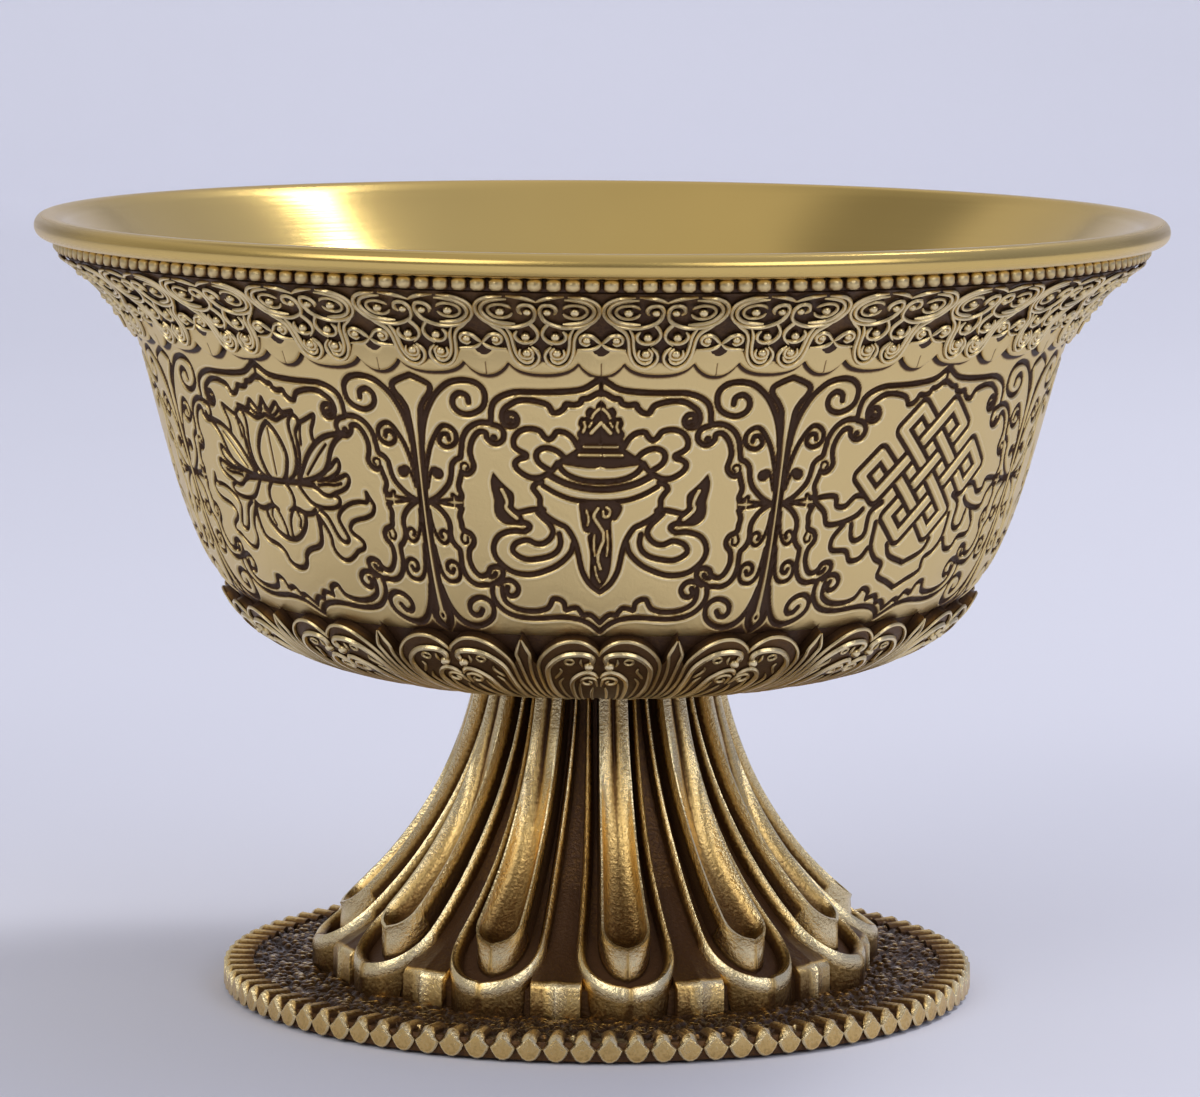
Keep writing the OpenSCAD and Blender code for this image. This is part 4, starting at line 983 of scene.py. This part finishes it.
class CUP_OT_filigree_collar(bpy.types.Operator):
    """Lay the collar of wire scrolls and granules over its dark ground"""
    bl_idname = "cup.filigree_collar"
    bl_label = "Filigree collar"
    # how far the ground's face stands outside the flare, and its thickness
    stand, thick = .62, .36
    # the plain foot under the scrolls, and the scrolls' height in the drawing
    foot, drawn_h = .3, 9.85

    def execute(self, context):
        wire_r = context.scene.cup_sizes.wire_r / MM
        line = flare(-self.stand)
        collar = Surface(np.vstack([line, line[-1] + (.31, .24)]), REPEAT, UNIT_N)
        top = collar.along[-1]
        u = np.linspace(0, REPEAT, 64, endpoint=False)
        across = np.minimum(u, REPEAT - u)
        edge = np.interp(across, *scallop_edge().T)
        s = edge + (top - edge) * np.linspace(0, 1, 44)[:, None] ** 1.15
        across = across[None, :] + 0 * s
        # gold scallops along the edge, cut back to a dark ground above, with a round hole in each narrow one
        lobe = np.interp(across, [0, 2.0, 2.5, 3.2, 4.1, 5.16], [3.05, 3.1, 2.4, 1.25, 1.1, 1.7])
        hole = np.hypot(across, np.minimum(s - 3.2, 0) + np.maximum(s - 3.2, 0) * .3) - .8
        gold = eased((np.minimum(lobe - s, np.where(across < 2, hole, FAR)) + .1) / .2)
        seam = np.exp(-(across / .09) ** 2) * (s < 1.7) * (s > .5)
        # towards its lower brink the ground is rounded off and darkened, a painted shadow along the scallops' lower
        # edge
        brink = eased(1 - (s - edge) / .28)
        h = -.22 * (1 - gold) - .06 * seam - .16 * brink ** 2
        wear_and_shading = .13 + .5 * gold - .4 * seam - .25 * brink ** 3
        back_s = np.stack([edge, (edge + top) / 2, 0 * edge + top])
        ground = collar.ground("collar_ground", u, (s, h), (back_s, 0 * back_s - self.thick), wear_and_shading)
        settle(ground, metal("chased_brass"), ["filigree_band"])
        lines = [(wire_r, .06, points) for points in WIRES]
        # an open ring of thinner wire round the first granule
        x, y, _ = GRANULES[0]
        lines.append((wire_r * .85, .02, [(x + math.cos(a), y + .95 * math.sin(a)) for a in np.linspace(.4, 6.0, 14)]))
        balls = [(x, y, r, .05) for x, y, r in GRANULES]
        points, faces = flat_ornament(mirrored(lines, REPEAT / 2), balls + [(REPEAT - b[0], *b[1:]) for b in balls])
        wear_and_shading = np.interp(points[:, 2], [-.1, .06, .24], [.1, .5, .85])
        s = self.foot + points[:, 1] * (top - self.foot) / self.drawn_h
        scrolls = set_round("collar_scrolls", collar.place(points[:, 0], s, points[:, 2]), faces, wear_and_shading, UNIT_N)
        settle(scrolls, metal("rubbed_brass"))
        return {"FINISHED"}


class CUP_OT_calyx(bpy.types.Operator):
    """Raise the heart scrolls and spear leaves of the calyx"""
    bl_idname = "cup.calyx"
    bl_label = "Calyx"
    # the ridge radius that the drawing's own radii go with, the face's inset in the belly, and the ground's thickness
    drawn_ridge, inset, thick = .34, .3, .85
    # where the ground starts, from the edge of the belly's flat bottom
    foot = .15

    def execute(self, context):
        thicker = context.scene.cup_sizes.ridge_r / MM / self.drawn_ridge
        belly = Surface(underside(self.inset, WALL_FOOT[1] - .1, 90), HEART_PITCH, HEART_N)
        stretch = belly.along[-1] / (HEART_EDGE[-1][1] + .05)
        u = np.linspace(-HEART_PITCH / 2, HEART_PITCH / 2, 64, endpoint=False)
        edge = np.interp(np.abs(u), *np.array(HEART_EDGE).T)
        s, back_s = (self.foot + (edge - self.foot) * np.linspace(0, 1, rows)[:, None] for rows in (40, 12))
        wear_and_shading = .22 + .14 * eased((s - edge + .3) / .3)
        ground = belly.ground("calyx_ground", u, (s * stretch, 0 * s),
                              (back_s * stretch, 0 * back_s - self.thick), wear_and_shading)
        settle(ground, metal("rubbed_brass"), ["calyx"])
        lines = [(radius * thicker, rise, points) for radius, rise, points in HEARTS]
        balls = [(x, y, r, .1) for x, y, r in HEART_BALLS]
        points, faces = flat_ornament(mirrored(lines), balls + [(-b[0], *b[1:]) for b in balls])
        wear_and_shading = np.interp(points[:, 2], [-.05, .12, .34], [.16, .52, .95])
        wear_and_shading *= np.interp(points[:, 1], [1, 12, 18], [.7, .85, 1])
        # the ridges sink towards the neck, where the calyx is filed flat
        points[:, 2] *= np.interp(points[:, 1], [6, 17], [.3, 1])
        laid = belly.place(points[:, 0], points[:, 1] * stretch, points[:, 2])
        scrolls = set_round("calyx_scrolls", laid, faces, wear_and_shading, HEART_N)
        settle(scrolls, metal("rubbed_brass"))
        return {"FINISHED"}


class CUP_OT_lotus_stem(bpy.types.Operator):
    """Shape the stem: twelve double petals and twelve square leaf ends round a turned core"""
    bl_idname = "cup.lotus_stem"
    bl_label = "Lotus stem"
    # radius at which the leaf ends' width is in true mm, and where the ground between the petals ends
    foot_r, end_r = 26.0, 25.0
    # mm under the petals' crest: the ground between them, and the hollow inside the stem
    ground_drop, hollow_drop = 2.4, 4.6
    # half angles at the neck and at the foot, length from the neck, and length of the round end
    outer = (math.radians(13.0), math.radians(11.7), 29.5, 5.8)
    inner = (math.radians(6.8), math.radians(5.9), 25.6, 2.9)

    def loop(self, petal, side, tip, drops, shrink=1.0):
        """A ring of points round one petal: side and tip mm inside its outline, drops mm under the crest at the neck
        and at the foot. Gives radius, height, angle and length from the neck."""
        neck, foot, length, bow = petal
        run = length - bow
        bend = np.radians(np.linspace(0, 180, 27))[1:-1]
        straight = np.linspace(0, 1, 34) * run
        t = np.r_[straight, run + (bow - tip) * np.sin(bend), straight[::-1]]
        sway = np.r_[0 * straight - 1, -np.cos(bend), 0 * straight + 1]
        foot_share = eased((t - 4) / 13)
        wide = neck + (foot - neck) * np.clip(t / 16, 0, 1)
        radius = STEM_MID[0] - STEM_RHO * np.cos(NECK_LEAN + t / STEM_RHO)
        angle = sway * (wide * shrink - side * (.62 + .38 * eased(t / 14)) / radius)
        # the round end comes to a small point in the middle
        keel = .16 * np.exp(-(angle * radius / .24) ** 2) * (t > run)
        a, rho = NECK_LEAN + (t + keel) / STEM_RHO, STEM_RHO + drops[0] + (drops[1] - drops[0]) * foot_share
        return np.stack([STEM_MID[0] - rho * np.cos(a), STEM_MID[1] - rho * np.sin(a), angle, t], -1)

    @staticmethod
    def ground_z(r, drop=ground_drop):
        """Height of the ground between the petals, which sinks a little towards the foot."""
        drop = drop + .1 * eased((r - 18) / 6.5)
        return STEM_MID[1] - np.sqrt(np.maximum((STEM_RHO + drop) ** 2 - (STEM_MID[0] - r) ** 2, 1))

    def petal(self):
        """Rings of points from the petal's hidden back over its rims into the dish, with their wear."""
        # petal, side and tip inset, drops, then wear_and_shading at the neck, along the side and on the round end
        outer, inner = self.outer, self.inner
        rings = [(outer, 0, -.5, (1.65, 2.25), .24, .24, .55), (outer, .08, -.28, (1.4, 1.75), .5, .45, 1),
                 (outer, .22, .05, (1.2, 1.32), .8, .78, 1), (outer, .42, .45, (1.13, 1.1), 1, 1, 1),
                 (outer, .66, .8, (1.28, 1.3), .6, .55, .65), (outer, .95, 1.1, (1.65, 1.7), .28, .24, .28),
                 (outer, 1.05, .8, (2.25, 2.4), .1, .08, .08), (inner, -.28, -1.6, (2.25, 2.45), .08, .07, .07),
                 (inner, -.1, -1.35, (1.95, 2.0), .14, .14, .75), (inner, -.04, -.65, (1.3, 1.15), .36, .26, 1),
                 (inner, 0, 0, (.5, .45), .85, .85, 1)]
        loops, wear_and_shading = [], []
        for petal, side, tip, drops, *worn_and_shaded in rings:
            loops.append(self.loop(petal, side, tip, drops))
            run = petal[2] - petal[3]
            worn_and_shaded = np.interp(loops[-1][:, 3], [3, 14, run, run + .4], [worn_and_shaded[0], worn_and_shaded[1], worn_and_shaded[1], worn_and_shaded[2]])
            # a fine dark line of painted shade down the middle of each round end, at its crease
            wear_and_shading.append(worn_and_shaded * (1 - .45 * (np.abs(loops[-1][:, 2]) < .004)))
        # the dish: two round ridges at the neck that open into a scoop, browner towards its end
        for share, neck_drop, foot_drop, *worn_and_shaded in (
                (.95, .06, .02, 1, 1, 1), (.86, 0, .06, 1, 1, 1), (.77, 0, .55, 1, .84, .58),
                (.66, 0, .95, .95, .7, .42), (.5, .04, 1.2, .9, .66, .38), (.32, .12, 1.32, .72, .64, .36),
                (.16, .26, 1.38, .4, .62, .36), (.04, .5, 1.4, .12, .52, .36)):
            loops.append(self.loop(self.inner, 0, (1 - share) * 3.2, (neck_drop, foot_drop), share))
            wear_and_shading.append(np.interp(loops[-1][:, 3], [4, 13, 22.5], worn_and_shaded))
        foot = loops[0].copy()
        foot[:, 1] = np.where(foot[:, 0] < self.end_r, self.ground_z(foot[:, 0]) - .1, BASE_T)
        hidden = self.loop(self.outer, 1.4, 3, (3.4, 3.4))
        hidden[:, 1] = np.maximum(hidden[:, 1], BASE_T)
        return np.stack([hidden, foot, *loops])[:, :, :3], np.stack([0 * wear_and_shading[0], 0 * wear_and_shading[0] + .3, *wear_and_shading])

    def execute(self, context):
        lean = NECK_LEAN + np.linspace(0, 30, 40) / STEM_RHO
        skin, under = (np.c_[STEM_MID[0] - rho * np.cos(lean), STEM_MID[1] - rho * np.sin(lean)]
                       for rho in (STEM_RHO + self.ground_drop, STEM_RHO + self.hollow_drop))
        skin[:, 1] = np.minimum(skin[:, 1], self.ground_z(skin[:, 0]))
        skin[0][1] = NECK_Z
        under = under[(under[:, 1] > BASE_T + 1.2) & (under[:, 0] > 4)]
        end = [(self.end_r, self.ground_z(np.array(self.end_r))), (self.end_r, BASE_T), (self.end_r - 2.2, BASE_T)]
        outline = np.vstack([skin[skin[:, 0] < self.end_r], end, under[::-1], [(under[0][0], NECK_Z)]])
        core = lathe("stem_core", outline, lambda r, z: np.full_like(r, .2), 180)
        settle(core, metal("sand_cast_brass"), ["stem"])
        rings, wear_and_shading = self.petal()
        layers, count = rings.shape[:2]
        grid = np.arange(layers * count).reshape(layers, count)
        faces = quads(grid).tolist()
        # the dish's floor, the hidden back and the end at the neck
        for row in (grid[-1].tolist(), grid[0].tolist()):
            faces += [[row[i], row[i + 1], row[-2 - i], row[-1 - i]] for i in range(count // 2 - 1)]
            faces.append(row[count // 2 - 1:count // 2 + 2])
        faces.append([*grid[:, 0].tolist(), *grid[::-1, -1].tolist()])
        flat = rings.reshape(-1, 3)
        shape = on_axis(flat[:, 0], flat[:, 2], np.minimum(flat[:, 1], NECK_Z))
        petals = set_round("lotus_petals", shape, faces, wear_and_shading.ravel(), PETAL_N, PETAL_TURN)
        face_out(petals)
        settle(petals, metal("sand_cast_brass"))
        self.leaf_ends()
        return {"FINISHED"}

    def leaf_ends(self):
        """Square ends of the leaves that lie between two petals, with a keel down the middle."""
        w = np.array([-2.4, -2.28, -1.2, -.2, 0, .2, 1.2, 2.28, 2.4])
        r = np.array([17, 20, 22.5, 24.9, 25.35, 25.6, 25.64, 25.64, 23, 17])
        sink = np.array([2.34, 2.25, 2.05, 1.72, 1.66, 1.9])
        z = np.r_[self.ground_z(r[:6], sink), BASE_T + .5, BASE_T, BASE_T, BASE_T + 1]
        keel = .24 * np.exp(-(w / .22) ** 2) - .14 * (np.abs(w) > 2.3)
        face = np.isin(np.arange(len(r)), (4, 5, 6, 7))[:, None]
        rr = r[:, None] + np.where(face, keel, 0)
        zz = z[:, None] + np.where(np.arange(len(r))[:, None] < 5, keel * .5, 0)
        # the face is brightest along its top edge and its keel and darker towards its foot: partly rubbing, partly
        # painted light and shade
        wear_and_shading = np.array([.12, .14, .16, .22, 1, .72, .58, .25, 0, 0])[:, None] + np.where(face, keel * 1.6, 0)
        # the keel shades one half of the face
        wear_and_shading = wear_and_shading - .22 * np.where(face, (w < -.3) * 1.0, 0)
        grid = np.arange(rr.size).reshape(rr.shape)
        faces = quads(np.vstack([grid, grid[:1]])).tolist()
        faces += [grid[:, 0].tolist(), grid[::-1, -1].tolist()]
        shape = on_axis(rr, w / self.foot_r, zz).reshape(-1, 3)
        piece = set_round("leaf_ends", shape, faces, np.clip(wear_and_shading.ravel(), 0, 1), PETAL_N,
                          PETAL_TURN + math.pi / PETAL_N)
        face_out(piece)
        settle(piece, metal("sand_cast_brass"))


class CUP_OT_base_plate(bpy.types.Operator):
    """Turn the base plate and punch its granular ground"""
    bl_idname = "cup.base_plate"
    bl_label = "Base plate"
    # the ground's inner radius and its points round and across
    ground_r, around, across = 24.6, 1020, 62
    # grains 0.4 to 0.9 mm across, rounded cells scattered over the ring
    grain_n, grain_r = 5200, (.2, .46)

    def execute(self, context):
        hub_r, hub_z = RECESS_R + RECESS_T, RECESS_H + RECESS_T
        outline = [(RECESS_R, 0), (PLATE_R - .3, 0), (PLATE_R, .3), (PLATE_R, BASE_T), (hub_r, BASE_T),
                   (hub_r, hub_z), (BOLT_HOLE_R, hub_z), (BOLT_HOLE_R, RECESS_H), (RECESS_R, RECESS_H)]
        plate = lathe("base_disc", outline, lambda r, z: np.where(z < .1, .5, .2), 240)
        settle(plate, metal("sand_cast_brass"), ["base_plate"])
        rise = context.scene.cup_sizes.ground_grain / MM
        rng = np.random.default_rng(8)
        r = np.linspace(self.ground_r, PLATE_R - .05, self.across)
        turn = np.linspace(0, math.tau, self.around, endpoint=False)
        rr, tt = np.meshgrid(r, turn, indexing="ij")
        x, y = rr * np.sin(tt), -rr * np.cos(tt)
        level = np.zeros_like(x)
        for _ in range(self.grain_n):
            seed_r, seed_t = math.sqrt(rng.uniform(self.ground_r ** 2, PLATE_R ** 2)), rng.uniform(0, math.tau)
            grain = rng.uniform(*self.grain_r)
            i0, i1 = np.searchsorted(r, [seed_r - grain, seed_r + grain])
            c0 = int((seed_t - grain / seed_r) / math.tau * self.around)
            cols = np.arange(c0, c0 + int(2 * grain / seed_r / math.tau * self.around) + 2) % self.around
            block = np.ix_(np.arange(i0, i1), cols)
            d2 = (x[block] - seed_r * math.sin(seed_t)) ** 2 + (y[block] + seed_r * math.cos(seed_t)) ** 2
            level[block] = np.maximum(level[block], np.sqrt(np.maximum(grain ** 2 - d2, 0)) / self.grain_r[1])
        z = BASE_T + .02 + rise * level
        z[[0, -1]] = BASE_T + .02
        wear_and_shading = np.clip(.01 + .8 * level ** 4, 0, 1)
        face = np.stack([x, y, z], -1)
        back = np.stack([x[[0, -1]], y[[0, -1]], 0 * x[[0, -1]] + BASE_T - .2], -1)
        ground = slab("base_ground", face[::-1], back[::-1], wear_and_shading[::-1], True)
        settle(ground, metal("punched_brass"))
        return {"FINISHED"}


class CUP_OT_base_beads(bpy.types.Operator):
    """Set the row of faceted barrel beads round the base"""
    bl_idname = "cup.base_beads"
    bl_label = "Base beads"
    middle_z = 1.3

    def execute(self, context):
        # right half of the bead's face seen from outside: pointed above, round below, meeting the next bead at its
        # side; behind the face a narrower round rib runs in to the ground
        half_face = [(0, 1.16), (.3, .92), (.62, .52), (1.19, .03), (.98, -.42), (.62, -.88), (.2, -1.08)]
        half_rib = [(0, 1.36), (.42, 1.24), (.68, .94), (.76, .4), (.74, -.3), (.55, -.8), (.2, -1)]
        face, rib = (np.array(half + [(-w, z) for w, z in half[:0:-1]]) for half in (half_face, half_rib))
        # depth behind the bead's front, share of the full size, and outline
        sections = [(0, .8, face), (.02, .9, face), (.18, 1, face), (.6, 1, rib), (2.8, .95, rib)]
        shape = np.concatenate([
            np.c_[share * line[:, 0], 0 * line[:, 0] + depth - BASE_R, share * line[:, 1] + self.middle_z]
            for depth, share, line in sections])
        grid = np.arange(len(shape)).reshape(len(sections), -1)
        faces = [grid[0, ::-1].tolist(), grid[-1].tolist(), *quads(np.c_[grid, grid[:, :1]]).tolist()]
        depth, height = shape[:, 1] + BASE_R, shape[:, 2] - self.middle_z
        # the face is lighter towards its top and brightest on its bevelled edge, the rib light only along its top:
        # partly rubbing, partly a painted highlight above and painted shade below
        face_wear_and_shading = np.interp(height, [-1.1, 0], [.8, 1])
        rib_wear_and_shading = np.interp(height, [.3, 1, 1.25, 1.36], [.1, .25, .6, .9])
        wear_and_shading = np.interp(depth, [0, .02, .18, .6, 2.8], [.7, 1, 1, 1, .6]) * np.where(depth > .3, rib_wear_and_shading, face_wear_and_shading)
        piece = set_round("base_beads", shape, faces, wear_and_shading, BASE_BEAD_N, math.pi / BASE_BEAD_N, 25)
        settle(piece, metal("sand_cast_brass"), ["base_beading"])
        seat_r = PLATE_R + .03
        outline = [(seat_r, .25), (BASE_R - .5, .25), (BASE_R - .35, 1.2), (BASE_R - .6, 1.9), (seat_r, 1.95)]
        seat = lathe("bead_seat", outline, lambda r, z: np.full_like(r, .2), 184)
        settle(seat, metal("sand_cast_brass"))
        return {"FINISHED"}


class CUP_OT_fasteners(bpy.types.Operator):
    """Plate the bolt, the washers and the nut"""
    bl_idname = "cup.fasteners"
    bl_label = "Fasteners"

    def execute(self, context):
        for name in ("tie_bolt", "bolt_washer", "foot_washer", "foot_nut"):
            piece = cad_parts[name]
            piece.data.materials.clear()
            piece.data.materials.append(metal("zinc_plated_steel"))
        return {"FINISHED"}


class CUP_OT_stage(bpy.types.Operator):
    """Lay seamless paper, hang the lights and set the camera"""
    bl_idname = "cup.stage"
    bl_label = "Stage"
    # metres: the paper's width, how far it is drawn to the front, its gap under the cup, and its curve up behind
    paper_w, paper_front, paper_gap = 4, .8, .00005
    curve_r, curve_steps, back_h = .5, 12, .4
    # the photograph's width and focal length in pixels; the camera's place in metres, pitch and roll in degrees
    photo_w, focal, sensor = 1200, 5217.5, 36
    eye_at, pitch, roll = (0, -.48426, .10457), 82.556, .42

    def lay_paper(self, look):
        """Paper that lies flat under the cup, then runs up behind it in a long curve."""
        deselect()
        bpy.ops.mesh.primitive_plane_add(size=self.paper_w)
        paper = bpy.context.object
        paper.name = "paper"
        bpy.ops.object.mode_set(mode="EDIT")
        bpy.ops.mesh.select_all(action="SELECT")
        bpy.ops.transform.translate(value=(0, -self.paper_front, -self.paper_gap))
        bpy.ops.mesh.select_all(action="DESELECT")
        bpy.ops.object.mode_set(mode="OBJECT")
        for edge in paper.data.edges:
            edge.select = all(paper.data.vertices[v].co.y > 0 for v in edge.vertices)
        bpy.ops.object.mode_set(mode="EDIT")
        bpy.ops.mesh.select_mode(type="EDGE")
        for i in range(1, self.curve_steps + 1):
            a0, a1 = (math.pi / 2 * j / self.curve_steps for j in (i - 1, i))
            bpy.ops.mesh.extrude_region_move(TRANSFORM_OT_translate={"value": (
                0, self.curve_r * (math.sin(a1) - math.sin(a0)), self.curve_r * (math.cos(a0) - math.cos(a1)))})
        bpy.ops.mesh.extrude_region_move(TRANSFORM_OT_translate={"value": (0, 0, self.back_h)})
        bpy.ops.object.mode_set(mode="OBJECT")
        bpy.ops.object.shade_smooth()
        # plain matt paper, pale and a little blue: soft reflections in the metal, and a faint cloudiness.
        # Its fibre is drawn 2 mm coarse: the real one is finer, and wouldn't show
        material, tree = new_material("seamless_paper")
        at = add_node(tree, "ShaderNodeTexCoord").outputs["Object"]
        fibre, cloud = (
            add_node(tree, "ShaderNodeTexNoise", {"Vector": at, "Scale": 1000 / mm, "Detail": 2.0}).outputs["Fac"]
            for mm in (2, 250))
        bump = add_node(tree, "ShaderNodeBump", {"Height": fibre, "Distance": .02 * MM, "Strength": .4})
        tint = add_node(tree, "ShaderNodeMix",
                        {0: cloud, 6: (*look.paper, 1), 7: (*[c * .96 for c in look.paper], 1)},
                        data_type="RGBA").outputs[2]
        shader = add_node(tree, "ShaderNodeBsdfPrincipled", {
            "Base Color": tint, "Roughness": .9, "Normal": bump.outputs["Normal"]})
        add_node(tree, "ShaderNodeOutputMaterial", {"Surface": shader.outputs[0]})
        paper.data.materials.append(material)

    @staticmethod
    def light_room(scene):
        """Plain room light, brighter overhead and behind, bluer from the right."""
        world = bpy.data.worlds.new("room")
        scene.world = world
        world.use_nodes = True
        tree = world.node_tree
        tree.nodes.clear()
        at = add_node(tree, "ShaderNodeTexCoord").outputs["Generated"]
        way = add_node(tree, "ShaderNodeSeparateXYZ", {0: at})
        level = add_node(tree, "ShaderNodeMapRange", {"Value": way.outputs[2], 1: .3, 2: .9, 3: .43, 4: .66},
                         interpolation_type="SMOOTHSTEP").outputs[0]
        for axis, more in enumerate((.06, .2)):
            level = add_node(tree, "ShaderNodeMath", {0: way.outputs[axis], 1: more, 2: level},
                             operation="MULTIPLY_ADD").outputs[0]
        # a dark flag high at the back left: the brown patch inside the bowl
        flag = add_node(tree, "ShaderNodeVectorMath", {0: at, 1: (-.44, .36, .82)},
                        operation="DOT_PRODUCT").outputs["Value"]
        flag = add_node(tree, "ShaderNodeMapRange", {"Value": flag, 1: .96, 2: .995, 3: 1.0, 4: .48},
                        interpolation_type="SMOOTHSTEP").outputs[0]
        level = add_node(tree, "ShaderNodeMath", {0: level, 1: flag}, operation="MULTIPLY").outputs[0]
        side = add_node(tree, "ShaderNodeMapRange", {"Value": way.outputs[0], 1: -.2, 2: .8}).outputs[0]
        tint = add_node(tree, "ShaderNodeMix", {0: side, 6: (*linear("#f1eff2"), 1), 7: (*linear("#ccd4f8"), 1)},
                        data_type="RGBA").outputs[2]
        glow = add_node(tree, "ShaderNodeBackground", {"Color": tint, "Strength": level})
        add_node(tree, "ShaderNodeOutputWorld", {"Surface": glow.outputs[0]})

    @staticmethod
    def hang_lamps(scene):
        """The key and the back light the paper; the others show in the metal, the glint as the bowl's white streak."""
        # name, place, aim, width and height in metres, watts, and whether it shows in the metal
        for name, place, aim, width, height, power, shows in (
                ("key", (.47, .39, .97), (0, 0, .05), .3, .3, 4.0, False),
                ("glint", (.43, .355, .9), (0, 0, .07), .09, .09, .5, True),
                ("front right", (.6, -.7, .5), (0, 0, .05), .6, .4, 2.0, True),
                ("front left", (-.6, -.7, .6), (0, 0, .04), .7, .5, 3.0, True),
                ("back", (0, 1.25, .75), (0, 1.6, 0), 1.4, .3, 2.6, False)):
            lamp = bpy.data.lights.new(name, "AREA")
            lamp.shape, lamp.size, lamp.size_y, lamp.energy = "RECTANGLE", width, height, power
            hung = bpy.data.objects.new(name, lamp)
            scene.collection.objects.link(hung)
            hung.location = place
            hung.visible_glossy = shows
            hung.rotation_euler = (Vector(place) - Vector(aim)).to_track_quat("Z", "Y").to_euler()

    def set_camera(self, scene):
        """Looks from where the photograph was taken."""
        camera = bpy.data.cameras.new("camera")
        camera.sensor_fit, camera.sensor_width = "HORIZONTAL", self.sensor
        camera.lens = self.sensor * self.focal / self.photo_w
        camera.clip_start, camera.clip_end = .01, 20
        eye = bpy.data.objects.new("camera", camera)
        scene.collection.objects.link(eye)
        eye.location = self.eye_at
        turn = Matrix.Rotation(math.radians(self.pitch), 3, "X") @ Matrix.Rotation(math.radians(self.roll), 3, "Z")
        eye.rotation_euler = turn.to_euler()
        scene.camera = eye

    def execute(self, context):
        scene = context.scene
        scene.view_settings.view_transform = "Standard"
        self.lay_paper(scene.cup_colours)
        self.light_room(scene)
        self.hang_lamps(scene)
        self.set_camera(scene)
        return {"FINISHED"}


OPERATORS = (CUP_OT_stage, CUP_OT_turned_liner, CUP_OT_outer_bowl, CUP_OT_engraved_panels, CUP_OT_lip_beads,
             CUP_OT_filigree_collar, CUP_OT_calyx, CUP_OT_lotus_stem, CUP_OT_base_plate, CUP_OT_base_beads,
             CUP_OT_fasteners)


class CUP_PT_panel(bpy.types.Panel):
    """The cup's pieces, in the order that they are made"""
    bl_idname = "CUP_PT_panel"
    bl_label = "Offering cup"
    bl_space_type = "VIEW_3D"
    bl_region_type = "UI"
    bl_category = "Cup"

    def draw(self, context):
        for group in (context.scene.cup_sizes, context.scene.cup_colours):
            for key in group.__annotations__:
                self.layout.prop(group, key)
        for operator in OPERATORS:
            self.layout.operator(operator.bl_idname)


CLASSES = (CupSizes, CupColours, *OPERATORS, CUP_PT_panel)


def register():
    for item in CLASSES:
        bpy.utils.register_class(item)
    bpy.types.Scene.cup_sizes = bpy.props.PointerProperty(type=CupSizes)
    bpy.types.Scene.cup_colours = bpy.props.PointerProperty(type=CupColours)


def unregister():
    del bpy.types.Scene.cup_colours, bpy.types.Scene.cup_sizes
    for item in reversed(CLASSES):
        bpy.utils.unregister_class(item)


def main():
    register()
    bpy.ops.cup.stage()
    bpy.ops.cup.turned_liner()
    bpy.ops.cup.outer_bowl()
    bpy.ops.cup.engraved_panels()
    bpy.ops.cup.lip_beads()
    bpy.ops.cup.filigree_collar()
    bpy.ops.cup.calyx()
    bpy.ops.cup.lotus_stem()
    bpy.ops.cup.base_plate()
    bpy.ops.cup.base_beads()
    bpy.ops.cup.fasteners()


if __name__ == "__main__":
    main()
